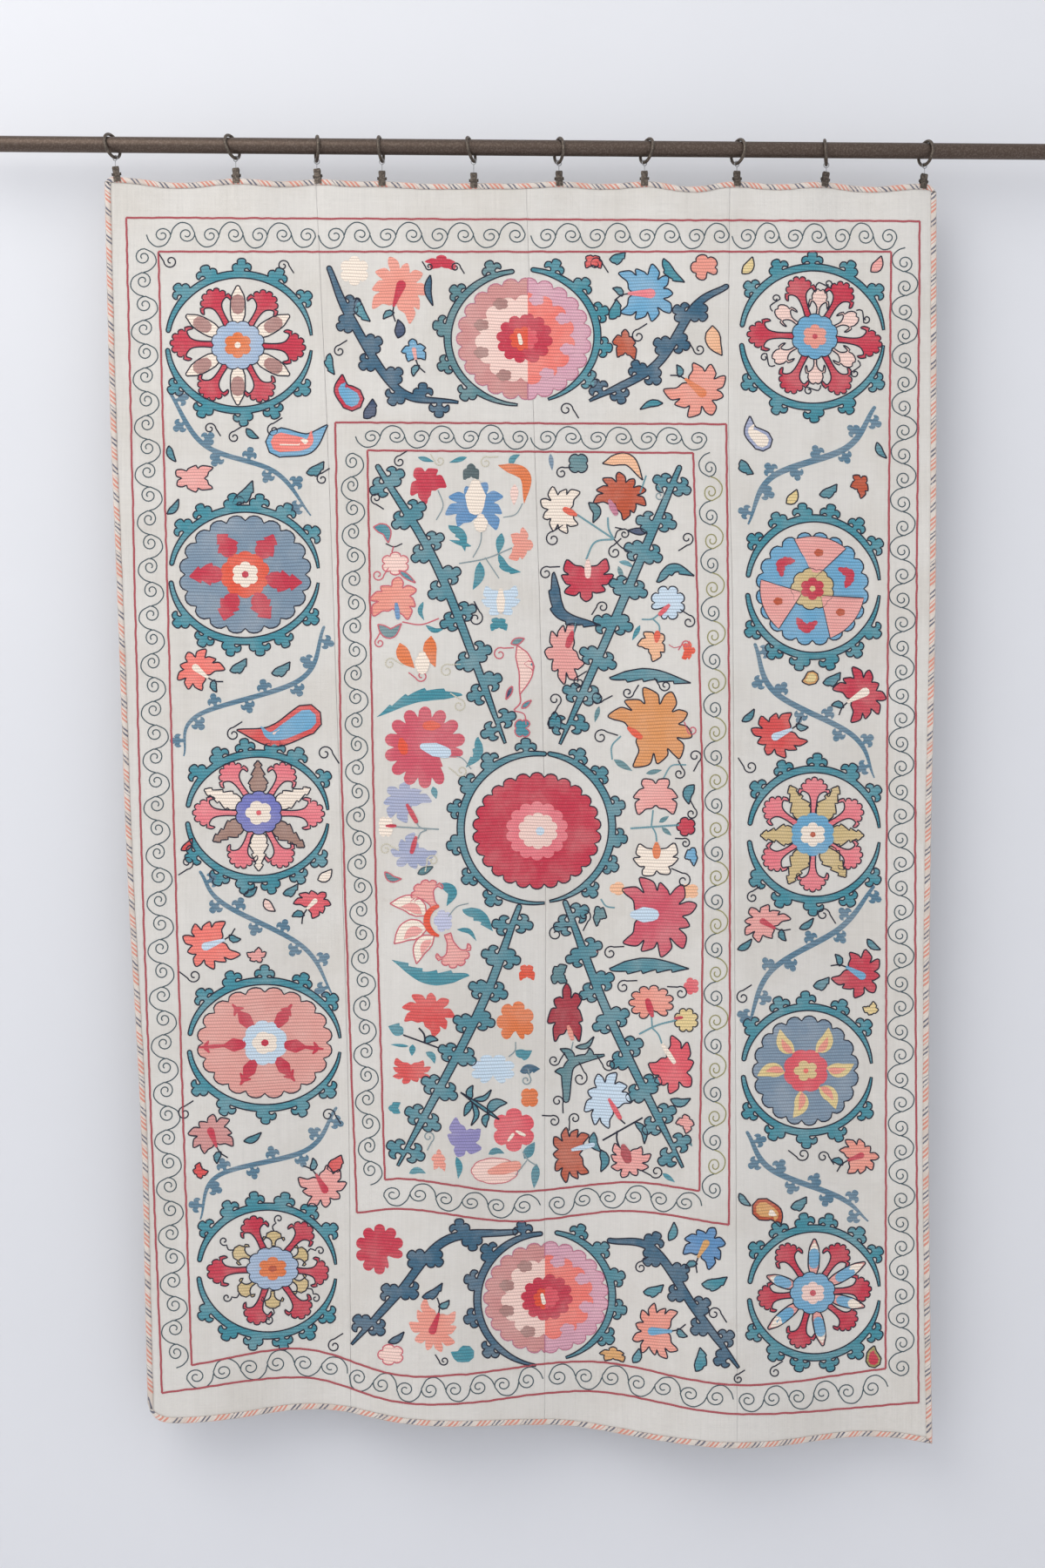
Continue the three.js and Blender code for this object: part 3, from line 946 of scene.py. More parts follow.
def fill(stitching, loops, dye, level=0):
    """Fills the union of some loops, padded in the middle, and gives back the union's edges."""
    corners, rings = [], []
    for loop in loops:
        loop = np.conj(np.asarray(loop, complex))
        loop = loop[np.abs(loop - np.roll(loop, 1)) > 0.05]
        if line_area(loop) < 0:
            loop = loop[::-1]
        rings.append(list(range(len(corners), len(corners) + len(loop))))
        corners += list(loop)
    edge = np.array(corners)
    xs = np.arange(math.floor(edge.real.min() / CELL) + 1, edge.real.max() / CELL) * CELL
    ys = np.arange(math.floor(edge.imag.min() / CELL) + 1, edge.imag.max() / CELL) * CELL
    inner = [complex(x, y) for x in xs for y in ys]
    inner = [p for p in inner if np.min(np.abs(edge - p)) > 2.2]
    points = [Vector((p.real, p.imag)) for p in corners + inner]
    places, _, faces, _, _, _ = delaunay_2d_cdt(points, [], rings, 1, 1e-4)
    found = {}
    for face in faces:
        for a, b in zip(face, face[1:] + face[:1]):
            found[(a, b)] = True
    rim = {a: b for a, b in found if (b, a) not in found}
    used = sorted({k for face in faces for k in face})
    number = {k: n for n, k in enumerate(used)}
    spots = np.array([complex(places[k][0], -places[k][1]) for k in used])
    height = FILL_LIFT + LEVEL_STEP * level + 0.02 * (stitching.count % 7)
    low = height - 0.12 if level else RIM_LIFT
    lifts = [low if k in rim else height for k in used]
    runs = np.zeros((len(used), 3))
    stitching.add(spots, lifts, runs, [[number[k] for k in face] for face in faces], dye)
    edges = []
    left = set(rim)
    while left:
        start = min(left)
        loop, k = [], start
        while k in left:
            left.discard(k)
            loop.append(complex(places[k][0], -places[k][1]))
            k = rim[k]
        if len(loop) > 3:
            edges.append(np.array(loop))
    return edges


def thread(stitching, path, width, dye, closed=False, lift=LINE_LIFT):
    """A cord laid along a line, with a raised middle."""
    path = np.asarray(path, complex)
    if closed:
        path = np.concatenate([path, path[:1]])
    if len(path) < 2:
        return
    ways = np.gradient(path)
    if closed:
        ways[0] = ways[-1] = path[1] - path[-2]
    out = ways / np.maximum(np.abs(ways), 1e-6) * 1j * width / 2
    spots = np.stack([path - out, path, path + out], 1).ravel()
    lifts = np.tile([lift - CORD_HEIGHT, lift, lift - CORD_HEIGHT], len(path))
    run = lengths(path) * PIXEL
    across = np.tile([-1, 0, 1], len(path)) * width
    runs = np.stack([np.repeat(run, 3), across, np.zeros(len(across))], 1)
    stitching.add(spots, lifts, runs, grid_faces(len(path), 3, 0, True), dye)


def draw(loops, dye, outline="ink", level=0, on=None, width=OUTLINE):
    """Fills shapes with a colour and lays a line round them."""
    loops = loops if isinstance(loops, list) else [loops]
    edges = fill(on or flowers, loops, dye, level)
    if outline:
        for edge in edges:
            thread(outlines, edge, width, outline, True, LINE_LIFT + LEVEL_STEP * level)


def stem(points, dye="ink", width=1.3):
    thread(outlines, smooth(points), width, dye)


def spiral(*place, dye="ink", width=1.5, **more):
    thread(outlines, curl(*place, **more), width, dye)


def branch(route, half, right, left, size=10.5, stalk=3.2, reach=23.0, stagger=0.0, span=(0, 1)):
    """A vine with three-lobed buds at even steps along its right-hand and left-hand side."""
    line = smooth(route)
    run = lengths(line)
    out = sideways(line)
    loops = [brush(route, [half * 0.6, half, half * 1.05, half, half * 0.9, half * 0.3])]
    for side, count in ((1, right), (-1, left)):
        shift = 0.5 + (stagger if side > 0 else -stagger) / 2
        for k in range(count):
            step = (k + shift + chance.uniform(-0.07, 0.07)) / count
            goal = run[-1] * (span[0] + (span[1] - span[0]) * step)
            n = int(np.argmin(np.abs(run - goal)))
            way = side * out[n] * toward(chance.uniform(-9, 9))
            half_bud = size * chance.uniform(0.94, 1.06)
            loops.append(bud(line[n], line[n] + way * reach, half_bud, stalk))
    return loops


def arc(centre, rx, ry, start, end):
    """Part of an oval, from one angle to another."""
    turn = np.radians(np.linspace(start, end, 25))
    return centre + rx * np.cos(turn) - 1j * ry * np.sin(turn)


def open_ring(centre, rx, ry, start, end, buds, dye, span=(0, 1)):
    """An arc of a ring with its buds on the outer side."""
    sides = (buds, 0) if end > start else (0, buds)
    draw(branch(arc(centre, rx, ry, start, end), 4, *sides, reach=18.5, span=span), dye, on=vines)


# Rings of the ten medallions, down the left column and then the right: middle, half-sizes and buds
COLUMN_RINGS = [
    (275 + 393j, 83, 78, 5),
    (281 + 660j, 85, 76, 6),
    (296 + 937j, 81, 72, 6),
    (304 + 1199j, 87, 73, 5),
    (307 + 1459j, 79, 74, 6),
    (933 + 387j, 82, 80, 5),
    (934 + 674j, 76, 79, 6),
    (935 + 958j, 75, 75, 5),
    (927 + 1228j, 74, 72, 5),
    (935 + 1484j, 75, 74, 6),
]


def trumpet(centre, angle, inner, outer, half, dye, lobes=5):
    """A trumpet flower that points away from the centre."""
    way = toward(angle)
    draw(flare(centre + way * inner, centre + way * outer, half, lobes, 3.6, 0.5, 0.34, 0.14), dye)


def banded_petal(centre, angle, inner, outer, half, bands):
    """A long oval petal whose length is worked in bands of colour, from the middle outwards."""
    way = toward(angle)
    a, b = centre + way * inner, centre + way * outer
    profile = [half * share for share in (0.6, 0.95, 1, 0.97, 0.8, 0.3)]
    draw(brush([a, (a + b) / 2, b], profile), bands[0][1])
    for start, end, dye in bands[1:]:
        p, q = a + (b - a) * start, a + (b - a) * end
        if end > 0.9:
            draw(brush([p, (p + q) / 2, q - way * 1.5], [half * 0.86, half * 0.6, 0.4]), dye, None, 1)
        else:
            draw(brush([p, q], [half * 0.86, half * 0.9]), dye, None, 1)


def oak_leaf(centre, angle, inner, outer, half, dye):
    """A lobed leaf that points away from the centre."""
    way = toward(angle)
    a, b = centre + way * inner, centre + way * outer
    middle = a + (b - a) * 0.36
    profile = [half * share for share in (0.6, 1, 0.8, 0.5, 0.36, 0.2)]
    draw(brush([a, middle, b], profile, 3.5, half * 0.42), dye)


def bell(centre, angle, inner, outer, half, dye):
    """A little bell with a tendril curling from its crown."""
    way = toward(angle)
    foot, top = centre + way * inner, centre + way * outer
    draw(flare(foot, top, half, 1, 2.2, 0.35, 0.45, 0.2), dye)
    side = way * 1j
    heart = top + way * 14 + side * 5
    start = math.degrees(-cmath.phase(-way - side * 0.6))
    spiral(heart, 5.5, start, -1, 1.1, tail=(top, top + way * 5 - side * 2))


def eyed_disc(centre, rx, ry, bows, dye, rings, outline="ink"):
    """A scalloped disc with flowers laid in one another; rings holds (rx, ry, petals, depth, dye)."""
    draw(scallop(centre, rx, ry, bows, 0.1), dye, outline, 1)
    for k, (a, b, petals, deep, colour) in enumerate(rings):
        draw(scallop(centre, a, b, petals, deep, 10 * k), colour, None, 2 + k)


def medallion_left_1():
    c = 273.1 + 396.4j
    for k in range(6):
        trumpet(c, 60 * k - 2, 24, 78 if k % 3 == 0 else 72, 17, "crimson")
        banded_petal(c, 60 * k + 30, 26, 66, 8.6, [(0, "cream"), (0.42, 0.62, "mauve_brown")])
    eyed_disc(c, 30.6, 28, 12, "grey_blue", [(16, 15, 6, 0.22, "orange"), (3.6, 3.6, 6, 0.1, "cream")])


def medallion_left_2():
    c = 281.6 + 659.6j
    draw(scallop(c, 76, 68, 20, 0.09), "slate_blue")
    for angle, reach in ((-8, 66), (55, 56), (125, 56), (182, 64), (245, 58), (300, 58)):
        way = toward(angle)
        jag = brush([c + way * 26, c + way * 44 + way * 2j, c + way * reach], [3, 9, 8, 5, 1], 3, 5)
        draw(jag, "crimson", None, 1)
    eyed_disc(c, 28.5, 27, 10, "orange_red", [(15.5, 15, 6, 0.2, "cream"), (4, 4, 6, 0.1, "crimson")], None)


def medallion_left_3():
    c = 297 + 933j
    for angle, reach in ((-1, 76), (57, 66), (125, 68), (180, 76), (248, 68), (298, 70)):
        trumpet(c, angle, 22, reach, 16, "rose")
    leaves = ((91, 58), (25, 64), (-37, 64), (270, 65), (212, 60), (157, 66))
    for (angle, reach), dye in zip(leaves, ("brown", "cream") * 3):
        oak_leaf(c, angle, 24, reach, 9, dye)
    eyed_disc(c, 27, 25, 10, "violet", [(15.5, 14, 5, 0.22, "cream"), (3, 3, 4, 0.1, "pink_red")])


def medallion_left_4():
    c = 304 + 1197j
    draw(scallop(c, 78, 64, 20, 0.09), "soft_salmon")
    for angle, reach in ((-6, 68), (55, 54), (130, 58), (184, 76), (240, 56), (308, 56)):
        way = toward(angle)
        bulb = brush([c + way * 27, c + way * 38, c + way * 46], [5.5, 8, 2.2])
        point = brush([c + way * 44, c + way * reach], [1.6, 2.4, 1])
        foot = c + way * (reach - 12)
        barb = brush([foot + way * 7j, c + way * (reach - 8), foot - way * 7j], [0.8, 3, 0.8])
        draw([bulb, point, barb], "crimson", None, 1)
    eyed_disc(c, 26, 26, 9, "pale_blue", [(15, 13, 5, 0.15, "cream"), (4.4, 4, 6, 0.1, "crimson")], None)


def medallion_left_5():
    c = 313 + 1456j
    for angle, reach in ((-5, 65), (50, 66), (115, 65), (183, 76), (250, 68), (305, 68)):
        trumpet(c, angle, 24, reach, 15, "crimson", 4)
    for angle, reach in ((88, 43), (25, 44), (-30, 46), (270, 46), (217, 48), (155, 50)):
        bell(c, angle, 26, reach, 11, "tan")
    eyed_disc(c, 30, 25, 11, "grey_blue", [(17, 13.5, 6, 0.25, "orange"), (5, 4, 5, 0.2, "rust")])


def medallion_right_1():
    c = 935.5 + 386.4j
    for angle, reach in ((-7, 78), (58, 72), (108, 72), (178, 78), (243, 72), (298, 74)):
        trumpet(c, angle, 22, reach, 16, "crimson")
    for angle in (26, 83, 143, 210, 271, 325):
        way = toward(angle)
        body = flare(c + way * 25, c + way * 56, 10, 2, 1.6, 0.3, 0.5, 0.25)
        draw(body, "pale_pink")
        heart = c + way * 62 + way * 8j
        spiral(heart, 5, angle - 150, 1, 1.0, tail=(c + way * 56 - way * 6j, c + way * 62 - way * 3j))
    eyed_disc(c, 26.4, 26, 10, "sky", [(14, 14, 6, 0.22, "salmon"), (3, 3, 6, 0.1, "crimson")])


def medallion_right_2():
    c = 932.7 + 675.9j
    draw(scallop(c, 65, 65, 20, 0.09), "sky")
    for k in range(3):
        middle = 80 - 120 * k
        turn = np.radians(np.linspace(middle - 30, middle + 30, 14))
        wedge = np.concatenate([c + 60 * np.exp(-1j * turn), [c + 12 * toward(middle)]])
        draw(wedge, "pink", "ink", 1, width=1.2)
        draw(scallop(c + 42 * toward(middle), 5.5, 4.5, 5, 0.15), "rust", None, 2)
        way = toward(middle + 60)
        bow = [c + way * 36 - way * 12j, c + way * 46, c + way * 36 + way * 12j]
        draw(brush(bow, [1, 3.6, 4.4, 3.6, 1], 5, 2), "crimson", None, 1)
    eyed_disc(c, 25, 24, 9, "tan", [(14, 13, 6, 0.22, "crimson"), (3.4, 3.4, 5, 0.1, "mustard")])


def medallion_right_3():
    c = 933 + 958j
    for angle, reach in ((88, 66), (31, 66), (-30, 64), (270, 66), (212, 66), (146, 66)):
        trumpet(c, angle, 20, reach, 16, "rose")
    for angle, reach in ((62, 61), (-1, 57), (-52, 60), (244, 61), (181, 58), (115, 60)):
        oak_leaf(c, angle, 22, reach, 10, "tan")
    eyed_disc(c, 25, 25, 10, "sky", [(15, 14, 6, 0.22, "cream"), (3.2, 3.2, 5, 0.1, "rust")], None)


def medallion_right_4():
    c = 925 + 1229j
    draw(scallop(c, 61, 63, 19, 0.09), "slate_blue")
    for angle, bend in ((62, 1), (8, 1), (-52, -1), (255, -1), (186, 1), (122, -1)):
        way = toward(angle)
        draw(leaf(c + way * 24, c + way * 56, 8.5, 0.16 * bend), "yellow", None, 1)
        foot = c + way * 25 + way * 2j * bend
        tip = c + way * 46 + way * 4j * bend
        draw(leaf(foot, tip, 4, 0.1 * bend), "salmon", None, 2)
    eyed_disc(c, 26, 25, 8, "pink_red", [(14, 12, 5, 0.3, "mustard"), (3, 3, 5, 0.1, "coral")], None)


def medallion_right_5():
    c = 933 + 1484j
    for angle, reach in ((4, 68), (56, 66), (124, 66), (186, 64), (254, 66), (-38, 62)):
        trumpet(c, angle, 20, reach, 15, "crimson")
    for angle, reach in ((88, 60), (30, 68), (-15, 60), (281, 60), (219, 64), (160, 54)):
        banded_petal(c, angle, 22, reach, 6.4, [(0, "pink"), (0.3, 0.62, "sky"), (0.66, 1.0, "cream")])
    eyed_disc(c, 26, 24, 9, "sky", [(14, 13, 6, 0.2, "pale_pink"), (3.6, 3.6, 6, 0.1, "crimson")])


# Slate vines down the side columns: the four spots that each winds through, and its half-width
SIDE_VINES = [
    ([194 + 449j, 235 + 511j, 316 + 542j, 357 + 592j], 2.8),
    ([372 + 720j, 345 + 780j, 226 + 822j, 211 + 868j], 2.8),
    ([230 + 1001j, 256 + 1037j, 348 + 1087j, 382 + 1142j], 2.8),
    ([386 + 1272j, 352 + 1320j, 250 + 1350j, 230 + 1400j], 2.8),
    ([1004 + 468j, 972 + 514j, 886 + 548j, 859 + 602j], 3.6),
    ([867 + 740j, 890 + 795j, 980 + 845j, 1004 + 893j], 3.2),
    ([1003 + 1018j, 965 + 1065j, 885 + 1115j, 858 + 1182j], 3.2),
    ([858 + 1300j, 885 + 1342j, 965 + 1375j, 997 + 1402j], 3.2),
]


def side_columns():
    """The rings, vines and medallions of the two side columns."""
    for centre, rx, ry, buds in COLUMN_RINGS:
        open_ring(centre, rx, ry, 170, 6, buds, "teal", (0.1, 0.9))
        open_ring(centre, rx, ry, 187, 353, buds, "teal", (0.1, 0.9))
    for route, half in SIDE_VINES:
        vine = branch(route, half, 4, 4, size=7.5, stalk=2.2, reach=17, stagger=0.5)
        draw(vine, "vine_slate", None, on=vines)
    for medallion in (
        medallion_left_1, medallion_left_2, medallion_left_3, medallion_left_4, medallion_left_5,
        medallion_right_1, medallion_right_2, medallion_right_3, medallion_right_4, medallion_right_5,
    ):
        medallion()


# The four arms of the centre field, from end to end
FIELD_ARMS = [
    [434 + 536j, 504 + 655j, 580 + 853j],
    [780 + 537j, 704 + 716j, 643 + 854j],
    [596 + 1041j, 548 + 1165j, 457 + 1338j],
    [649 + 1036j, 702 + 1172j, 784 + 1340j],
]
ARM_PAIRS = 8


def centre_field():
    """The centre rosette in its open ring, with the four arms round it."""
    for route in FIELD_ARMS:
        draw(branch(route, 4.7, ARM_PAIRS, ARM_PAIRS, reach=23, stagger=0.12), "field_teal", on=vines)
    open_ring(616 + 951j, 87, 86, 84, 276, 7, "field_teal", (0.02, 0.86))
    open_ring(616 + 950j, 87, 86, 80, -80, 6, "field_teal", (0.06, 0.88))
    c = 616.5 + 953.7j
    draw(scallop(c, 74, 67, 26, 0.08), "crimson")
    draw(scallop(c, 36, 34, 14, 0.12), "rose", None, 1)
    draw(scallop(c + 1, 23, 21, 10, 0.14), "pale_pink", None, 2)
    draw(scallop(620 + 954j, 5, 5, 7, 0.1), "pale_blue", None, 3)


# Open rings round the two rosettes: middle, half-sizes, both angles, buds and colour
STRIP_RINGS = [
    (600 + 388j, 86, 77, 98, 266, 5, "grey_teal"),
    (600 + 386j, 86, 77, 82, -70, 5, "teal"),
    (626 + 1492j, 78, 76, 94, 262, 5, "deep_teal"),
    (626 + 1488j, 77, 74, 80, -72, 5, "field_teal"),
]

# The four arms of the end strips, each through four spots
STRIP_ARMS = [
    [378 + 308j, 402 + 364j, 458 + 448j, 526 + 462j],
    [834 + 329j, 798 + 352j, 752 + 420j, 677 + 460j],
    [592 + 1414j, 512 + 1424j, 458 + 1484j, 404 + 1543j],
    [700 + 1424j, 750 + 1434j, 800 + 1505j, 848 + 1570j],
]


def beside(loop, x, right):
    """The part of a loop on one side of a seam."""
    keep = []
    sign = 1 if right else -1
    for a, b in zip(loop, np.roll(loop, -1)):
        da, db = (a.real - x) * sign, (b.real - x) * sign
        if da >= 0:
            keep.append(a)
        if da * db < 0:
            keep.append(a + (b - a) * da / (da - db))
    return np.array(keep)


# Rings of a split rosette: bows and their depth, and each half's sizes and colours
ROSETTE_BOWS = ((23, 0.08), (15, 0.12), (12, 0.16), (8, 0.2))
ROSETTE_LEFT = ((1.0, "dusty_rose"), (0.72, "pale_pink"), (0.40, "crimson"), (0.20, "orange_red"))
ROSETTE_RIGHT = ((1.0, "lilac_pink"), (0.76, "coral"), (0.42, "crimson"), (0.20, "pink_red"))


def split_rosette(c, rx, ry, seam, slip):
    """A rosette sewn in two halves that were dyed apart and don't quite meet."""
    for right, rings in ((False, ROSETTE_LEFT), (True, ROSETTE_RIGHT)):
        middle = c + (slip if right else 0)
        for k, ((share, dye), (bows, dent)) in enumerate(zip(rings, ROSETTE_BOWS)):
            loop = scallop(middle, rx * share, ry * share, bows, dent, 4 * k)
            draw(beside(loop, seam, right), dye, "mauve" if k == 0 else None, k, width=1.3)
        for angle in (30, -15, -60, 75) if right else (120, 160, 200, 245):
            turn = math.radians(angle)
            spot = middle + (rx * 0.66 * math.cos(turn) - 1j * ry * 0.66 * math.sin(turn))
            draw(scallop(spot, 9, 7, 5, 0.2), "lilac_pink" if right else "mauve_brown", None, 2)
    draw(brush([c - 4 - 4j, c - 2 + 5j], [2, 2.4]), "cream", None, 5)


def end_strips():
    """The two split rosettes of the end strips, with their rings and arms."""
    for ring in STRIP_RINGS:
        open_ring(*ring, (0.02, 0.84))
    for route in STRIP_ARMS:
        draw(branch(route, 4.6, 4, 4, reach=19.5, stagger=0.3, span=(0.14, 0.98)), "deep_teal", on=vines)
    split_rosette(600 + 389j, 76, 70, 606, 3)
    split_rosette(626 + 1490j, 71, 64, 625.5, 2 - 1j)


# Red lines of the two borders, clockwise from the top left: their corners and where they wave
OUTER_LINE = [
    145 + 250j, 1056 + 254j, 1051 + 990j, 1055 + 1610j,
    845 + 1623j, 680 + 1597j, 530 + 1611j, 450 + 1608j, 345 + 1581j, 186 + 1599j, 163 + 990j,
]
INNER_LINE = [
    182 + 289j, 1023 + 289j, 1018 + 990j, 1017 + 1571j,
    846 + 1590j, 680 + 1563j, 530 + 1578j, 450 + 1577j, 345 + 1548j, 220 + 1567j, 201 + 990j,
]
FIELD_OUTER = [
    385 + 485j, 834 + 487j, 838 + 950j, 837 + 1406j,
    719 + 1390j, 590 + 1402j, 470 + 1388j, 410 + 1392j, 394 + 950j,
]
FIELD_INNER = [
    422 + 517j, 796 + 520j, 807 + 950j, 803 + 1367j,
    719 + 1357j, 590 + 1368j, 475 + 1354j, 442 + 1354j, 430 + 950j,
]


def frame_sides(points):
    """The sides of a closed line, each of them smooth between two square corners."""
    p = np.array(points)
    ways = np.exp(1j * np.angle(np.roll(p, -1) - p))
    turns = np.abs(np.degrees(np.angle(ways / np.roll(ways, 1)))) > 50
    corners = [int(k) for k in np.nonzero(turns)[0]]
    ends = zip(corners, corners[1:] + [corners[0] + len(p)])
    return [smooth([p[k % len(p)] for k in range(a, b + 1)], step=3.2) for a, b in ends]


def border_line(points):
    """A red line, laid by a hand that shakes a little."""
    for side in frame_sides(points):
        shake = np.array([chance.uniform(-0.55, 0.55) for _ in side])
        shake = np.convolve(shake, [0.25, 0.5, 0.25], "same")
        shake[0] = shake[-1] = 0
        thread(borders, side + sideways(side) * shake, BORDER_WIDTH, "border_red")


# One half-wave of the running scroll, which turns back into a spiral
SCROLL_HALF = 27.0
SCROLL_RISE = [0j, 3 + 8j, 11 + 14.5j, 21 + 12j, 27 + 2j]
SCROLL_EYE = 17.5 + 0.5j
SCROLL_RADIUS = 9.5


def scroll(points, dyes=("green_ink", "green_ink"), first=1, tall=1.0):
    """A running scroll: half-waves to either side by turns, each ending in a spiral inside itself."""
    line = smooth(points, step=3.0)
    run = lengths(line)
    out = sideways(line)
    count = max(int(run[-1] // SCROLL_HALF), 1)
    pitch = run[-1] / count
    eye = curl(SCROLL_EYE, SCROLL_RADIUS, -9, 1, 1.4)
    wave = np.concatenate([smooth(SCROLL_RISE, step=2.2)[:-1], eye])
    for k in range(count):
        side = first if k % 2 == 0 else -first
        grow = chance.uniform(0.93, 1.05)
        at = k * pitch + wave.real * (pitch / SCROLL_HALF)
        middle = np.interp(at, run, line.real) + 1j * np.interp(at, run, line.imag)
        way = np.interp(at, run, out.real) + 1j * np.interp(at, run, out.imag)
        path = middle + way * wave.imag * side * grow * tall
        thread(borders, path, SCROLL_WIDTH, dyes[k % 2], lift=LINE_LIFT - 0.2)


def between(outer, inner, start, end):
    """The middle line of a border between two of its spots."""
    a = np.concatenate(frame_sides(outer))
    b = np.concatenate(frame_sides(inner))
    middle = np.array([(p + b[np.argmin(np.abs(b - p))]) / 2 for p in a])
    i = int(np.argmin(np.abs(middle - start)))
    j = int(np.argmin(np.abs(middle - end)))
    return middle[i : j + 1] if i <= j else np.concatenate([middle[i:], middle[: j + 1]])


# Both ends of each run of the scroll, clockwise from the top left
OUTER_RUNS = [
    (168 + 271j, 362 + 269j), (367 + 269j, 604 + 269j), (609 + 269j, 837 + 270j), (841 + 270j, 1030 + 271j),
    (1040 + 285j, 1035 + 1580j), (1020 + 1592j, 848 + 1606j), (843 + 1606j, 629 + 1586j),
    (624 + 1588j, 404 + 1577j), (399 + 1575j, 215 + 1583j), (203 + 1570j, 164 + 285j),
]
FIELD_RUNS = [
    (408 + 501j, 605 + 498j), (610 + 498j, 812 + 504j), (817 + 520j, 821 + 1375j),
    (806 + 1380j, 629 + 1382j), (622 + 1384j, 440 + 1372j), (424 + 1360j, 404 + 520j),
]
OLIVE_FROM = 815


def all_borders():
    """The red lines and the running scroll between them."""
    for points in (OUTER_LINE, INNER_LINE, FIELD_OUTER, FIELD_INNER):
        border_line(points)
    for start, end in OUTER_RUNS:
        scroll(between(OUTER_LINE, INNER_LINE, start, end))
    for start, end in FIELD_RUNS:
        second = "olive_ink" if start.real > OLIVE_FROM else "green_ink"
        scroll(between(FIELD_OUTER, FIELD_INNER, start, end), ("green_ink", second), tall=0.9)


# Side-view flowers: middle, half-sizes, the way it faces, petals, colour, and any outline and stamen
FIELD_JAGGED = [
    (491 + 557j, 21, 24, 130, 5, "crimson"), (541 + 543j, 11, 12, 90, 3, "pine"),
    (546 + 584j, 34, 32, 90, 8, "blue"), (596 + 626j, 16, 20, 0, 5, "salmon"),
    (573 + 717j, 11, 10, 90, 4, "teal"), (575 + 688j, 24, 21, 270, 6, "pale_blue"),
    (453 + 690j, 28, 26, 80, 7, "salmon", "pink_ink"), (466 + 920j, 28, 23, 135, 7, "lilac"),
    (475 + 978j, 25, 21, 225, 7, "lilac"), (605 + 1117j, 10, 12, 90, 4, "orange_red"),
    (491 + 1165j, 30, 27, 60, 8, "red"), (472 + 1228j, 23, 17, 270, 8, "red"),
    (533 + 1305j, 22, 24, 250, 5, "iris"), (504 + 1334j, 9, 15, 90, 5, "salmon"),
    (454 + 1272j, 9, 8, 180, 3, "teal"), (646 + 585j, 25, 27, 180, 8, "cream", "ink"),
    (712 + 571j, 30, 27, 55, 9, "rust", "ink"), (673 + 663j, 31, 27, 270, 7, "crimson", "ink"),
    (650 + 749j, 24, 35, 200, 8, "pink", "ink"), (749 + 741j, 18, 17, 45, 5, "peach", "ink"),
    (789 + 747j, 9, 12, 0, 5, "orange_red"), (748 + 836j, 48, 44, 25, 9, "amber", "ink"),
    (637 + 828j, 8, 13, 90, 3, "teal", "ink"), (753 + 916j, 28, 25, 90, 6, "pink", "ink"),
    (754 + 985j, 28, 22, 270, 6, "cream", "ink"), (794 + 983j, 8, 12, 60, 3, "sky", "ink"),
    (752 + 1052j, 48, 45, 0, 10, "rose_red", "ink"), (688 + 1051j, 8, 13, 120, 3, "grey_teal", "ink"),
    (643 + 1118j, 12, 13, 180, 4, "grey_teal", "ink"), (651 + 1169j, 21, 37, 90, 7, "wine", "ink"),
    (772 + 1222j, 28, 33, 315, 7, "pink_red", "ink"), (698 + 1264j, 28, 33, 135, 8, "pale_blue", "ink"),
    (657 + 1325j, 25, 31, 180, 9, "rust", "ink"), (723 + 1330j, 23, 22, 270, 8, "pink", "ink"),
    (787 + 1290j, 11, 11, 45, 4, "pink", "ink"),
]

# Round flowers: middle, half-sizes, petals, the side left open for the stem, colour and any outline
FIELD_ROUND = [
    (454 + 647j, 16, 13, 6, None, "pale_pink", "pink_ink"), (488 + 858j, 47, 47, 14, 325, "rose_red"),
    (443 + 949j, 9, 13, 4, None, "cream"), (592 + 1173j, 22, 24, 7, 270, "orange"),
    (566 + 1228j, 26, 18, 8, 270, "pale_blue"), (608 + 1260j, 11, 12, 4, None, "orange"),
    (590 + 1297j, 25, 25, 6, None, "pink_red"), (600 + 836j, 10, 11, 4, 0, "teal", "pink_ink"),
    (664 + 532j, 12, 12, 4, None, "grey_teal", "ink"), (767 + 692j, 20, 20, 8, 225, "pale_blue", "ink"),
    (788 + 949j, 11, 11, 5, None, "crimson", "ink"), (709 + 1020j, 9, 8, 3, None, "peach"),
    (792 + 1023j, 11, 9, 4, None, "peach"), (794 + 1132j, 9, 10, 5, None, "pink_red"),
    (748 + 1151j, 26, 20, 11, 280, "salmon", "ink"), (788 + 1171j, 14, 14, 8, None, "yellow", "ink"),
]

# The flowers of the two side columns and of the two end strips, each row as above
COLUMN_JAGGED = [
    (229 + 770j, 27, 24, 140, 8, "coral", "ink", "cream"),
    (243 + 1084j, 33, 29, 200, 9, "coral", "ink", "pale_blue"),
    (359 + 1037j, 21, 17, 45, 7, "pink_red", "ink", "cream"),
    (244 + 1304j, 26, 25, 110, 8, "dusty_rose", "ink", "crimson"),
    (230 + 1344j, 9, 9, 225, 4, "red", "ink"), (370 + 1360j, 27, 26, 300, 8, "pink", "ink", "crimson"),
    (294 + 1096j, 11, 10, 300, 5, "pink", "ink"), (226 + 549j, 26, 17, 180, 6, "pink", "ink"),
    (987 + 558j, 12, 14, 50, 5, "rust", "ink"), (987 + 798j, 30, 31, 30, 9, "crimson", "ink", "cream"),
    (896 + 843j, 33, 27, 205, 9, "red", "ink", "pale_blue"),
    (880 + 1060j, 27, 21, 150, 8, "pink", "ink", "crimson"),
    (984 + 1117j, 30, 27, 330, 8, "crimson", "ink", "sky"),
    (984 + 1328j, 24, 21, 20, 8, "salmon", "ink", "crimson"), (1000 + 1158j, 9, 9, 300, 4, "yellow", "ink"),
]
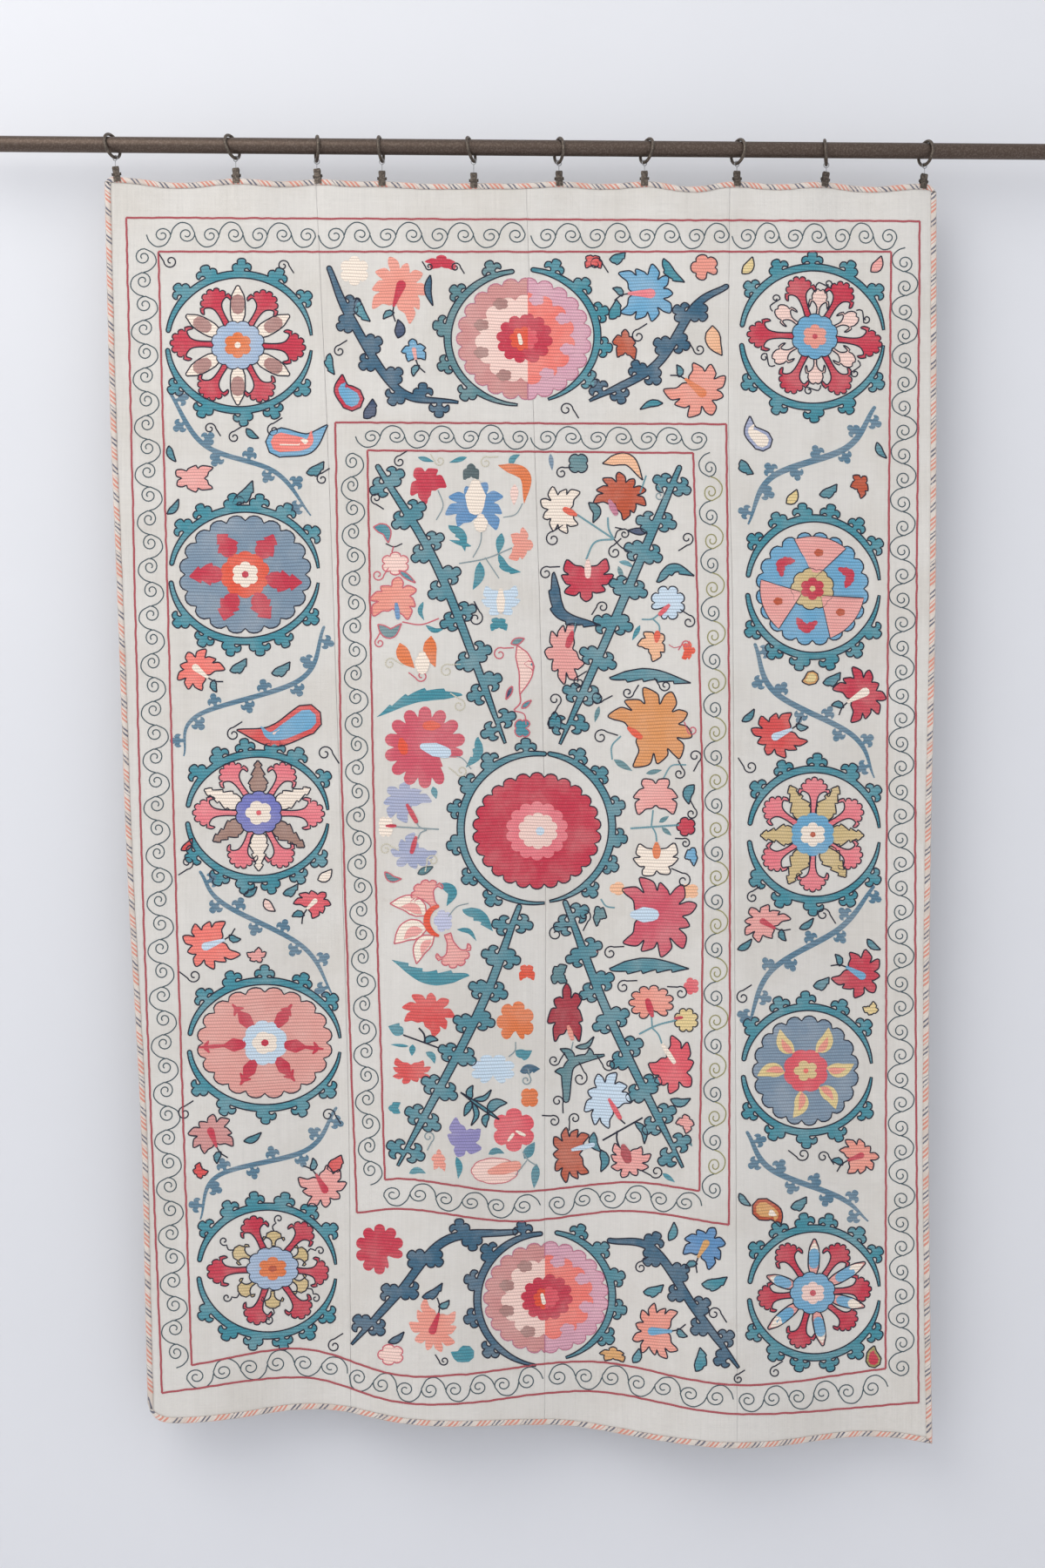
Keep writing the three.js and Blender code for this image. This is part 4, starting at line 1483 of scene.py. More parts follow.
STRIP_JAGGED = [
    (458 + 335j, 33, 40, 70, 9, "salmon", None, "crimson"), (507 + 303j, 19, 10, 90, 5, "crimson"),
    (476 + 405j, 15, 15, 100, 5, "sky", "ink", "pink"), (681 + 301j, 11, 10, 90, 4, "red", "ink"),
    (739 + 337j, 36, 33, 0, 9, "sky", "ink", "rose"), (718 + 398j, 14, 20, 90, 5, "rust", "ink"),
    (800 + 446j, 35, 32, 320, 8, "salmon", "ink", "orange"),
    (499 + 1521j, 27, 33, 250, 9, "salmon", None, "crimson"),
    (808 + 1432j, 24, 25, 60, 7, "blue", "ink", "ochre"),
    (756 + 1528j, 29, 32, 180, 10, "salmon", "ink", "sky"), (704 + 1556j, 15, 10, 90, 5, "ochre", "ink"),
]
STRIP_ROUND = [
    (407 + 311j, 17, 17, 6, None, "cream"), (809 + 307j, 16, 15, 5, 300, "salmon", "ink"),
    (436 + 1434j, 28, 29, 10, 315, "crimson"), (449 + 1555j, 15, 12, 5, None, "pale_pink", "pink_ink"),
]

# Paisleys: tail, head, bend, half-width and the colours from the edge inwards
PAISLEYS = [
    (376 + 488j, 322 + 508j, -0.2, 17, ("sky", "coral", "cream"), "ink"),
    (272 + 838j, 352 + 826j, 0.16, 18, ("red", "sky", "pale_pink"), "ink"),
    (861 + 478j, 875 + 506j, 0.2, 12, ("lilac", "cream"), "ink"),
    (896 + 1408j, 876 + 1388j, 0.2, 13, ("rust", "ochre", "cream"), "ink"),
    (393 + 430j, 404 + 458j, 0.2, 14, ("crimson", "sky"), "ink"),
    (518 + 1552j, 535 + 1554j, 0.2, 10, ("teal",), None),
    (1004 + 1545j, 1003 + 1561j, 0.1, 9, ("olive", "crimson"), "ink"),
    (921 + 782j, 932 + 778j, 0.1, 8, ("ochre", "yellow"), "ink"),
]

# Leaves of the columns and strips: foot, tip, half-width, colour and any teeth
SMALL_LEAVES = [
    (267 + 578j, 290 + 552j, 6, "field_teal", 3), (194 + 512j, 202 + 530j, 4, "field_teal"),
    (192 + 590j, 205 + 573j, 4, "field_teal"), (283 + 492j, 297 + 503j, 4, "field_teal"),
    (352 + 543j, 372 + 530j, 5, "field_teal", 3), (264 + 770j, 283 + 756j, 5, "field_teal", 3),
    (312 + 773j, 333 + 760j, 5, "field_teal", 3), (280 + 1310j, 300 + 1300j, 4, "field_teal"),
    (280 + 1028j, 295 + 1018j, 4, "field_teal"), (325 + 1026j, 342 + 1015j, 4, "field_teal", 3),
    (304 + 1032j, 316 + 1046j, 5, "pale_pink"), (365 + 1010j, 381 + 998j, 6, "cream"),
    (376 + 1342j, 392 + 1326j, 7, "red", 3), (208 + 976j, 221 + 962j, 4, "red"),
    (941 + 568j, 961 + 556j, 5, "field_teal", 3), (852 + 828j, 866 + 814j, 4, "field_teal"),
    (945 + 784j, 965 + 772j, 5, "field_teal", 3), (847 + 1090j, 863 + 1078j, 4, "field_teal"),
    (934 + 1132j, 952 + 1122j, 5, "field_teal", 3), (918 + 1066j, 934 + 1054j, 4, "field_teal"),
    (996 + 1078j, 1011 + 1090j, 4, "field_teal"), (849 + 1370j, 862 + 1384j, 4, "field_teal"),
    (908 + 1386j, 926 + 1374j, 5, "field_teal", 3), (1007 + 508j, 1018 + 526j, 4, "field_teal"),
    (851 + 528j, 865 + 544j, 5, "field_teal", 3), (903 + 578j, 915 + 562j, 6, "yellow"),
    (852 + 314j, 864 + 295j, 6, "yellow"), (1000 + 312j, 1012 + 294j, 6, "pink"),
    (410 + 343j, 425 + 369j, 5, "teal", 3), (379 + 406j, 384 + 430j, 4, "teal", 3),
    (418 + 480j, 428 + 458j, 6, "navy", 3), (457 + 388j, 457 + 367j, 6, "navy"),
    (494 + 316j, 497 + 351j, 4, "deep_teal"), (700 + 298j, 718 + 290j, 5, "teal", 3),
    (700 + 366j, 708 + 344j, 6, "teal", 3), (762 + 297j, 786 + 324j, 5, "teal", 3),
    (818 + 374j, 829 + 408j, 9, "peach"), (761 + 463j, 735 + 470j, 4, "teal"),
    (485 + 1489j, 508 + 1473j, 4, "deep_teal", 3), (446 + 1541j, 464 + 1529j, 4, "deep_teal"),
    (768 + 1424j, 774 + 1403j, 5, "teal"), (727 + 1564j, 734 + 1548j, 5, "teal"),
    (799 + 1574j, 804 + 1547j, 6, "teal", 3), (739 + 1483j, 762 + 1475j, 5, "teal", 3),
    (806 + 1474j, 835 + 1466j, 6, "teal", 3),
]

# Small spirals of the columns and strips: middle, radius and the angle that each starts at
SMALL_CURLS = [
    (314 + 494j, 7, 90), (241 + 492j, 6, 0), (269 + 502j, 6, 90), (196 + 300j, 7, 180),
    (325 + 305j, 6, 0), (370 + 550j, 6, 90), (215 + 990j, 7, 270), (268 + 843j, 7, 90),
    (373 + 865j, 8, 0), (223 + 1120j, 7, 200), (212 + 1278j, 7, 90), (377 + 1280j, 7, 0),
    (384 + 1545j, 7, 90), (862 + 880j, 7, 180), (864 + 1030j, 6, 90), (945 + 1050j, 7, 0),
    (853 + 1145j, 7, 90), (922 + 1325j, 7, 200), (945 + 1328j, 6, 0), (890 + 1575j, 6, 90),
    (493 + 306j, 4, 180), (523 + 307j, 5, 0), (390 + 403j, 6, 90), (684 + 303j, 7, 0),
    (733 + 386j, 7, 90), (803 + 401j, 6, 180), (650 + 470j, 7, 0), (510 + 1562j, 5, 180),
    (736 + 1455j, 6, 90), (820 + 1508j, 7, 0), (848 + 1583j, 5, 90),
]


# Leaves of the centre field: foot, tip, half-width, colour, and any bend, teeth and outline
FIELD_LEAVES = [
    (480 + 525j, 498 + 530j, 3, "teal"), (536 + 525j, 516 + 531j, 3, "teal"),
    (586 + 535j, 597 + 522j, 4, "teal", -0.2), (591 + 556j, 590 + 580j, 5, "pale_pink"),
    (515 + 603j, 534 + 633j, 5, "teal", -0.2, 3), (541 + 627j, 516 + 620j, 3, "teal"),
    (576 + 612j, 572 + 636j, 5, "teal"), (573 + 636j, 598 + 657j, 4, "teal", 0.2, 3),
    (551 + 645j, 543 + 677j, 6, "teal", -0.1), (486 + 691j, 487 + 712j, 3, "teal", 0.2),
    (489 + 718j, 511 + 721j, 3, "teal", 0.2), (458 + 655j, 477 + 669j, 3, "teal", 0, 0, "pink_ink"),
    (587 + 739j, 602 + 733j, 4, "grey_teal", 0, 0, "pink_ink"),
    (602 + 762j, 612 + 770j, 4, "teal", -0.3, 0, "pink_ink"),
    (588 + 788j, 581 + 803j, 3, "navy", 0, 0, "pink_ink"),
    (599 + 813j, 610 + 804j, 3, "teal", 0, 0, "pink_ink"), (531 + 798j, 433 + 823j, 6, "teal", 0.1, 5),
    (549 + 846j, 535 + 881j, 5, "teal", -0.2, 3), (497 + 903j, 501 + 917j, 4, "teal"),
    (480 + 1003j, 497 + 995j, 4, "grey_teal", 0, 0, "green_ink"),
    (442 + 1001j, 461 + 1009j, 4, "grey_teal", 0.2, 0, "pink_ink"),
    (505 + 1014j, 513 + 1040j, 6, "teal", -0.4), (531 + 1044j, 566 + 1069j, 6, "teal", -0.15, 3),
    (525 + 1067j, 547 + 1080j, 3, "teal", -0.2), (539 + 1120j, 450 + 1102j, 7, "teal", -0.14, 5),
    (487 + 1197j, 503 + 1194j, 4, "field_teal", -0.2, 0, "ink"), (469 + 1201j, 449 + 1199j, 2, "teal"),
    (474 + 1199j, 473 + 1212j, 4, "teal"), (489 + 1208j, 499 + 1221j, 4, "teal", -0.2),
    (592 + 1206j, 611 + 1206j, 5, "teal", 0.2, 2), (597 + 1230j, 620 + 1227j, 5, "deep_teal", -0.1, 3),
    (573 + 1285j, 529 + 1254j, 2, "field_teal", 0, 0, "ink"),
    (541 + 1262j, 543 + 1246j, 4, "field_teal", -0.2, 0, "ink"),
    (541 + 1264j, 533 + 1281j, 4, "field_teal", 0, 0, "ink"),
    (544 + 1262j, 564 + 1251j, 3, "field_teal", 0.2, 0, "ink"),
    (543 + 1266j, 541 + 1292j, 3, "field_teal", -0.2, 0, "ink"),
    (560 + 1277j, 582 + 1266j, 6, "field_teal", -0.2, 0, "ink"),
    (561 + 1279j, 558 + 1294j, 4, "field_teal", 0.2, 0, "ink"), (470 + 1347j, 489 + 1347j, 4, "teal", -0.2),
    (524 + 1328j, 526 + 1353j, 4, "teal", -0.1), (561 + 1325j, 579 + 1324j, 4, "field_teal", -0.2),
    (602 + 1330j, 614 + 1311j, 6, "field_teal"), (616 + 1336j, 613 + 1364j, 5, "field_teal"),
    (632 + 521j, 634 + 540j, 3, "slate_blue"), (676 + 577j, 681 + 600j, 5, "grey_teal", -0.3, 0, "ink"),
    (692 + 532j, 738 + 551j, 7, "peach", -0.3, 0, "ink"), (743 + 611j, 721 + 609j, 4, "navy", 0, 0, "ink"),
    (636 + 657j, 690 + 718j, 6, "deep_teal", 0.3, 5, "ink"),
    (754 + 668j, 797 + 661j, 5, "field_teal", -0.3, 3, "ink"),
    (700 + 778j, 793 + 784j, 6, "field_teal", -0.08, 5, "ink"),
    (797 + 901j, 791 + 923j, 6, "field_teal", 0.2, 0, "ink"),
    (700 + 1112j, 791 + 1112j, 7, "field_teal", -0.06, 5, "ink"), (682 + 1098j, 688 + 1083j, 3, "pink"),
    (661 + 1202j, 682 + 1190j, 3, "grey_teal", 0.2, 0, "ink"),
    (770 + 1262j, 793 + 1261j, 5, "field_teal", 0.2, 0, "ink"),
    (729 + 1288j, 740 + 1313j, 4, "field_teal", -0.2, 0, "ink"), (711 + 645j, 728 + 652j, 3, "teal", -0.1),
    (710 + 650j, 716 + 667j, 3, "grey_teal"), (735 + 718j, 726 + 735j, 3, "teal"),
    (688 + 811j, 683 + 829j, 3, "grey_teal"), (705 + 872j, 726 + 885j, 4, "grey_teal"),
    (742 + 888j, 760 + 884j, 3, "grey_teal"), (757 + 944j, 768 + 937j, 3, "grey_teal"),
    (760 + 950j, 771 + 959j, 3, "grey_teal"), (761 + 1347j, 775 + 1357j, 3, "teal"),
    (787 + 1305j, 795 + 1316j, 3, "grey_teal"), (572 + 534j, 602 + 578j, 7, "orange", -0.35),
    (459 + 738j, 476 + 767j, 8, "orange", 0.1), (495 + 730j, 500 + 766j, 8, "orange", 0.1),
    (434 + 717j, 461 + 716j, 6, "grey_teal", 0.4, 0, "pink_ink"),
    (594 + 741j, 597 + 797j, 9, "pale_pink", -0.15, 0, "pink_ink"),
    (429 + 605j, 446 + 623j, 6, "teal", -0.3, 0, "pink_ink"), (463 + 1187j, 446 + 1178j, 6, "teal", 0, 2),
    (682 + 1300j, 690 + 1322j, 5, "field_teal", 0.2, 0, "ink"),
    (690 + 1320j, 690 + 1345j, 5, "field_teal", -0.2, 0, "ink"),
]

# Hearts worked on top of the flowers: foot, tip, half-width and colour
FIELD_HEARTS = [
    (575 + 678j, 575 + 700j, 5, "cream"), (546 + 556j, 546 + 582j, 12, "cream"),
    (552 + 594j, 552 + 604j, 9, "cream"), (455 + 692j, 457 + 709j, 3, "blue"),
    (485 + 752j, 485 + 767j, 9, "cream"), (503 + 833j, 490 + 833j, 6, "orange_red"),
    (461 + 850j, 464 + 862j, 6, "orange_red"), (486 + 857j, 512 + 864j, 8, "pale_blue"),
    (467 + 923j, 478 + 943j, 3, "crimson"), (478 + 960j, 473 + 978j, 3, "crimson"),
    (443 + 948j, 454 + 948j, 2, "crimson"), (583 + 1310j, 589 + 1302j, 2, "cream"),
    (592 + 1298j, 602 + 1303j, 2, "cream"), (661 + 591j, 649 + 585j, 4, "orange_red"),
    (700 + 575j, 707 + 589j, 4, "mauve"), (675 + 644j, 675 + 661j, 4, "pale_pink"),
    (769 + 694j, 758 + 705j, 3, "pink_red"), (657 + 726j, 652 + 741j, 4, "crimson"),
    (754 + 736j, 755 + 727j, 4, "orange_red"), (722 + 836j, 735 + 846j, 4, "orange_red"),
    (754 + 969j, 754 + 982j, 5, "orange"), (728 + 1050j, 750 + 1050j, 9, "pale_blue"),
    (729 + 1049j, 742 + 1050j, 6, "peach"), (652 + 1177j, 657 + 1192j, 3, "salmon"),
    (749 + 1166j, 744 + 1149j, 4, "crimson"), (774 + 1169j, 783 + 1168j, 2, "crimson"),
    (760 + 1198j, 774 + 1219j, 3, "cream"), (699 + 1261j, 712 + 1283j, 3, "pink_red"),
    (656 + 1320j, 681 + 1314j, 3, "pale_blue"), (716 + 1316j, 721 + 1331j, 6, "wine"),
    (563 + 1345j, 593 + 1338j, 7, "salmon"),
]

# Thin stems: both ends, width, colour and any bend
FIELD_STEMS = [
    (527 + 647j, 588 + 629j, 1.5, "stem_grey", 0.05), (543 + 640j, 553 + 605j, 1.3, "stem_grey", 0.1),
    (557 + 640j, 573 + 664j, 1.3, "stem_grey"), (503 + 563j, 501 + 597j, 1.3, "stem_grey", -0.2),
    (578 + 594j, 600 + 578j, 1.2, "stem_grey", 0.2), (462 + 714j, 504 + 710j, 1.5, "pink_ink", 0.12),
    (452 + 627j, 450 + 634j, 1.7, "pink_ink"), (443 + 624j, 462 + 624j, 1.4, "ink", 0.2),
    (512 + 868j, 541 + 883j, 1.2, "stem_grey", -0.2), (504 + 952j, 454 + 949j, 1.7, "stem_grey"),
    (490 + 953j, 477 + 938j, 1.5, "stem_grey", -0.2), (490 + 953j, 480 + 963j, 1.5, "stem_grey", 0.2),
    (538 + 1037j, 515 + 1052j, 1.2, "stem_grey", 0.15), (463 + 1188j, 504 + 1203j, 1.8, "ink"),
    (481 + 1180j, 488 + 1197j, 2.0, "ink", -0.15), (592 + 1196j, 584 + 1213j, 1.4, "stem_grey", -0.2),
    (600 + 1322j, 616 + 1338j, 1.5, "stem_grey", 0.1), (605 + 1332j, 592 + 1349j, 1.3, "stem_grey"),
    (597 + 796j, 590 + 815j, 1.7, "pink_ink", -0.2), (590 + 816j, 604 + 832j, 1.4, "pink_ink", -0.3),
    (663 + 591j, 705 + 619j, 2.1, "stem_teal"), (698 + 594j, 705 + 619j, 2.1, "stem_teal", 0.1),
    (673 + 642j, 705 + 619j, 2.1, "stem_teal", -0.25), (705 + 619j, 726 + 634j, 1.5, "ink", 0.1),
    (706 + 618j, 718 + 607j, 1.5, "ink", -0.25), (742 + 546j, 735 + 566j, 1.8, "stem_teal"),
    (737 + 711j, 758 + 704j, 1.8, "stem_teal", 0.15), (750 + 711j, 757 + 728j, 1.8, "stem_teal", -0.2),
    (661 + 714j, 659 + 727j, 1.8, "stem_teal"), (713 + 845j, 703 + 872j, 1.8, "stem_teal", 0.2),
    (762 + 893j, 788 + 878j, 1.6, "stem_teal", -0.25), (724 + 951j, 780 + 947j, 2.2, "stem_teal"),
    (750 + 930j, 748 + 948j, 1.8, "stem_teal"), (748 + 948j, 754 + 966j, 1.8, "stem_teal", -0.1),
    (690 + 1032j, 706 + 1042j, 1.8, "stem_teal", 0.2), (734 + 1187j, 777 + 1171j, 2.1, "stem_teal", -0.05),
    (749 + 1180j, 748 + 1163j, 1.8, "stem_teal"), (749 + 1180j, 760 + 1198j, 1.8, "stem_teal", -0.1),
    (738 + 1283j, 692 + 1309j, 2.0, "ink"), (709 + 1298j, 711 + 1316j, 2.0, "ink", 0.1),
    (718 + 1290j, 711 + 1284j, 1.8, "ink"), (656 + 1205j, 658 + 1196j, 1.4, "stem_grey"),
    (768 + 740j, 781 + 742j, 1.0, "pink_ink", 0.2),
]

# Spirals of the centre field: middle, radius, starting angle, hand and colour
FIELD_CURLS = [
    (459 + 530j, 7, 90, 1, "ink"), (432 + 572j, 7, 270, -1, "ink"), (645 + 543j, 7, 60, 1, "ink"),
    (635 + 619j, 9, 90, 1, "ink"), (717 + 613j, 6, 110, -1, "ink"), (706 + 634j, 8, 100, 1, "ink"),
    (789 + 618j, 8, 270, 1, "ink"), (627 + 658j, 8, 60, 1, "ink"), (692 + 697j, 7, 180, -1, "ink"),
    (546 + 710j, 9, 60, -1, "ink"), (791 + 714j, 8, 90, -1, "ink"), (757 + 569j, 6, 60, -1, "stem_grey"),
    (665 + 783j, 7, 90, 1, "ink"), (721 + 795j, 7, 0, -1, "ink"), (764 + 787j, 7, 180, 1, "ink"),
    (686 + 800j, 8, 330, -1, "ink"), (637 + 803j, 8, 300, 1, "ink"), (690 + 846j, 9, 40, 1, "ink"),
    (798 + 868j, 8, 300, 1, "ink"), (780 + 888j, 7, 60, -1, "ink"), (794 + 934j, 7, 60, -1, "ink"),
    (787 + 968j, 6, 120, -1, "ink"), (785 + 1011j, 9, 100, -1, "ink"), (671 + 1051j, 8, 300, 1, "ink"),
    (638 + 1072j, 9, 60, 1, "ink"), (701 + 1094j, 8, 60, 1, "ink"), (716 + 1133j, 8, 60, 1, "ink"),
    (782 + 1140j, 8, 120, -1, "ink"), (636 + 1217j, 7, 0, -1, "ink"), (700 + 1222j, 8, 180, 1, "ink"),
    (666 + 1238j, 9, 60, -1, "ink"), (640 + 1264j, 7, 330, 1, "ink"), (636 + 1287j, 7, 120, -1, "ink"),
    (660 + 1284j, 7, 210, -1, "ink"), (754 + 1345j, 8, 210, 1, "ink"),
    (492 + 1305j, 7, 300, 1, "stem_grey"), (436 + 738j, 6, 120, 1, "pink_ink"),
    (434 + 660j, 7, 0, -1, "pink_ink"), (574 + 751j, 8, 60, 1, "pink_ink"),
    (604 + 1240j, 6, 45, -1, "stem_grey"), (527 + 810j, 8, 90, -1, "stem_pale"),
    (530 + 885j, 7, 200, 1, "stem_pale"), (448 + 762j, 7, 30, 1, "stem_pale"),
    (513 + 770j, 8, 60, 1, "stem_pale"), (484 + 776j, 7, 200, 1, "pink_ink"),
    (558 + 531j, 7, 60, 1, "stem_pale"), (505 + 529j, 6, 180, 1, "stem_pale"),
    (443 + 975j, 7, 30, 1, "stem_pale"), (497 + 988j, 7, 200, -1, "stem_pale"),
    (788 + 740j, 5, 180, -1, "pink_ink"), (795 + 838j, 6, 170, 1, "pink_ink"),
]


def jagged_flower(middle, rx, ry, facing, petals, dye, edge=None, stamen=None):
    """A side-view flower; one with a stamen also has a bent stalk and a leaf."""
    draw(bloom(middle, rx, ry, facing, petals), dye, edge)
    if not stamen:
        return
    way = toward(facing)
    reach = min(rx, ry) * way
    heart = [middle - 0.55 * reach, middle + 0.25 * reach]
    draw(brush(heart, [1.4, 0.17 * abs(reach)]), stamen, None, 1)
    foot = middle - 0.5 * reach
    stem([foot, foot - 9 * way + 2j * way, foot - 17 * way + 8j * way], "ink", 1.6)
    side_leaf = leaf(foot - 8 * way + 3j * way, foot - 19 * way - 6j * way, 4, 0.2)
    draw(side_leaf, "field_teal", "ink", on=vines)


def round_flower(middle, rx, ry, petals, gap, dye, edge=None):
    """A flower with round petals."""
    draw(petalled(middle, rx, ry, petals, gap=gap), dye, edge)


def paisley(tail, head, bend, half, dyes, edge):
    """A drop with a bent tail, worked as one drop inside another."""
    middle = (tail + head) / 2 + (head - tail) * 1j * bend
    for k, dye in enumerate(dyes):
        size = 1 - 0.34 * k
        drop = brush([head + (tail - head) * size, middle, head], [0.6, 0.7 * half * size, half * size])
        draw(drop, dye, edge if k == 0 else None, min(k, 1))


def tendril(middle, radius, angle, hand=1, dye="ink"):
    """A spiral with a short lead into it."""
    lead = middle + 2.2 * radius * toward(angle - 35 * hand)
    spiral(middle, radius, angle, hand, dye=dye, tail=[lead])


def field_leaf(foot, tip, half, dye, bend=0, teeth=0, edge=None):
    """A leaf, toothed on its right-hand side if wanted."""
    draw(leaf(foot, tip, half, bend, teeth, 0.6 * half, (1, 0)), dye, edge, on=vines)


def field_heart(foot, tip, half, dye):
    """A patch of colour on a flower."""
    draw(brush([foot, tip], [0.5 * half, half, 0.8 * half]), dye, None, 1)


def field_stem(foot, tip, width, dye, bend=0):
    """A thin stem, bent to one side."""
    stem([foot, (foot + tip) / 2 + (tip - foot) * 1j * bend, tip], dye, width)


def each(function, rows):
    """Draws a table's rows, one after the other."""
    for row in rows:
        function(*row)


LEFT_COLUMN_END = 378
RIGHT_COLUMN_START = 845


def strip_area(spot):
    """Whether a place is between the two side columns."""
    return LEFT_COLUMN_END < spot.real < RIGHT_COLUMN_START


def small_leaf(foot, tip, half, dye, teeth=0):
    """A leaf of a side column or end strip."""
    draw(leaf(foot, tip, half, 0.12, teeth, 2.4, (1, 0)), dye, "ink", on=vines)


def small_curl(middle, radius, angle):
    """A spiral of a side column or end strip."""
    tendril(middle, 1.15 * radius, angle)


def area_rows(rows, in_strip):
    """The rows that lie either in the side columns or in the end strips."""
    return [row for row in rows if strip_area(row[0]) == in_strip]


def lily():
    """The big loose lily of the left half, round a red crescent."""
    heart = 509 + 1057j
    for angle, reach, half in ((162, 64, 11), (205, 62, 12), (238, 58, 9)):
        way = toward(angle)
        draw(leaf(heart + 20 * way, heart + reach * way, half, 0.15), "cream", "pink_ink")
        draw(leaf(heart + 26 * way, heart + 0.8 * reach * way, half * 0.5, 0.15), "pink", None, 1)
    for angle, reach in ((122, 52), (288, 56)):
        way = toward(angle)
        draw(flare(heart + 16 * way, heart + reach * way, 18, 4, 4, 0.35, 0.4, 0.16), "pink", "pink_ink")
    draw(petalled(heart, 11, 13, 5), "lilac_pale", None)
    draw(brush(arc(heart, 19, 18, 105, 255), [1.4, 3.4, 3.8, 3.4, 1.4]), "orange_red", None, 1)


def grey_branch():
    """The lobed branch under the wine-red flower."""
    lobes = [brush([694 + 1211j, 655 + 1222j, 650 + 1262j], [1, 5, 6, 3.5])]
    for foot, tip in ((657 + 1220j, 643 + 1204j), (672 + 1217j, 677 + 1203j), (652 + 1236j, 637 + 1230j)):
        lobes.append(leaf(foot, tip, 5, 0.2))
    draw(lobes, "grey_teal", "ink", on=vines)


def field_flowers():
    """All that grows between the arms of the centre field."""
    grey_branch()
    each(jagged_flower, FIELD_JAGGED)
    each(round_flower, FIELD_ROUND)
    lily()
    draw(scallop(568 + 1344j, 27, 15, 9, 0.04), "pale_pink", "pink_ink", width=1.0)
    each(field_leaf, FIELD_LEAVES)
    each(field_heart, FIELD_HEARTS)
    each(field_stem, FIELD_STEMS)
    each(tendril, FIELD_CURLS)


def column_flowers():
    """What grows between the medallions of the side columns."""
    each(jagged_flower, COLUMN_JAGGED)
    for function, rows in ((paisley, PAISLEYS), (small_leaf, SMALL_LEAVES), (small_curl, SMALL_CURLS)):
        each(function, area_rows(rows, False))


def strip_flowers():
    """What grows round the rosettes of the end strips."""
    each(jagged_flower, STRIP_JAGGED)
    each(round_flower, STRIP_ROUND)
    for function, rows in ((paisley, PAISLEYS), (small_leaf, SMALL_LEAVES), (small_curl, SMALL_CURLS)):
        each(function, area_rows(rows, True))


# Rod, rings, wire eyes and clips, worked with the editing tools: turns, in radians, and sizes in mm
ALONG_ROD = (0, math.pi / 2, 0)
FACING = (math.pi / 2, 0, 0)
ROD_SIDES = 96
ROD_BEVEL = 0.8
JAW_ROWS = 50
JAW_COLUMNS = 8
JAW_BEVEL = 0.22
JAW_SHORTER = 0.6
WAIST_AT = 16
SHOULDER_AT = 22
LEAN_AT = 14
RIBS = (17.4, 22.9)
RIB_PITCH = 1.1
FOLD_RADIUS = 1.25
FOLD_DROP = 1.5
PIN_RADIUS = 1.5
COIL_RADIUS = 2.0
COIL_WIRE = 0.5
COIL_GAP = 0.6
COIL_PITCH = 1.0
EYE_PLAY = 0.3
SHANK_PLAY = 0.1


def start_piece(name, material):
    """The shape just added, named and in its metal."""
    made = bpy.context.active_object
    made.name = name
    made.data.materials.clear()
    made.data.materials.append(material)
    return made


def apply_all(made):
    """Makes a piece's modifiers and turns part of its mesh."""
    bpy.ops.object.select_all(action="DESELECT")
    made.select_set(True)
    bpy.context.view_layer.objects.active = made
    for modifier in list(made.modifiers):
        bpy.ops.object.modifier_apply(modifier=modifier.name)
    bpy.ops.object.transform_apply(location=True, rotation=True, scale=True)
    bpy.ops.object.shade_smooth_by_angle(angle=math.radians(35))


def bevelled(made, width, segments):
    """Rounds a piece's sharp edges."""
    bevel = made.modifiers.new("Bevel", "BEVEL")
    bevel.width = width * MM
    bevel.segments = segments
    bevel.limit_method = "ANGLE"
    return bevel


def bar(name, radius, length, sides, material, turned=(0, 0, 0), height=0):
    """A round bar whose middle is at a given height."""
    at = (0, 0, height * MM)
    bpy.ops.mesh.primitive_cylinder_add(vertices=sides, radius=radius * MM, depth=length * MM, location=at)
    made = start_piece(name, material)
    made.rotation_euler = turned
    apply_all(made)
    return made


def wire_loop(name, radius, wire, segments, material, turned=(0, 0, 0), at=(0, 0, 0)):
    """A closed loop of round wire."""
    bpy.ops.mesh.primitive_torus_add(
        major_radius=radius * MM,
        minor_radius=wire * MM,
        major_segments=segments[0],
        minor_segments=segments[1],
        location=[v * MM for v in at],
    )
    made = start_piece(name, material)
    made.rotation_euler = turned
    apply_all(made)
    return made


def join(parts, name):
    """Several shapes made one piece."""
    bpy.ops.object.select_all(action="DESELECT")
    for part in parts:
        part.select_set(True)
    bpy.context.view_layer.objects.active = parts[0]
    bpy.ops.object.join()
    parts[0].name = name
    return parts[0]


def placed(made, matrix, name, node):
    """Sets a piece in its place and lets it stand for its CAD node."""
    made.data.transform(matrix)
    made.name = name
    made.data.name = name
    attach(made, "root")
    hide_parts(node)


def curtain_rod(material):
    """The plain rod, its cut ends slightly rounded."""
    bpy.ops.mesh.primitive_cylinder_add(vertices=ROD_SIDES, radius=ROD_RADIUS * MM, depth=ROD_LENGTH * MM)
    rod = start_piece("curtain_rod", material)
    rod.rotation_euler = ALONG_ROD
    bevelled(rod, ROD_BEVEL, 3)
    apply_all(rod)
    placed(rod, Matrix.Identity(4), "curtain_rod", "rod")


def eye_mesh(shank, material):
    """A wire loop whose end is wound once round its shank."""
    loop = wire_loop("eye", EYE_RADIUS, EYE_WIRE, (36, 10), material, FACING)
    leg = bar("shank", EYE_WIRE, shank, 12, material, height=-(EYE_RADIUS + shank / 2))
    low = (0, 0, -EYE_RADIUS - EYE_WIRE)
    twist = wire_loop("twist", EYE_WIRE * 1.1, EYE_WIRE * 0.55, (14, 8), material, at=low)
    return join([loop, leg, twist], "eye")


def swell(z, at, half, tall):
    """A smooth rise with a given middle and half-width."""
    return tall * math.exp(-(((z - at) / half) ** 2))


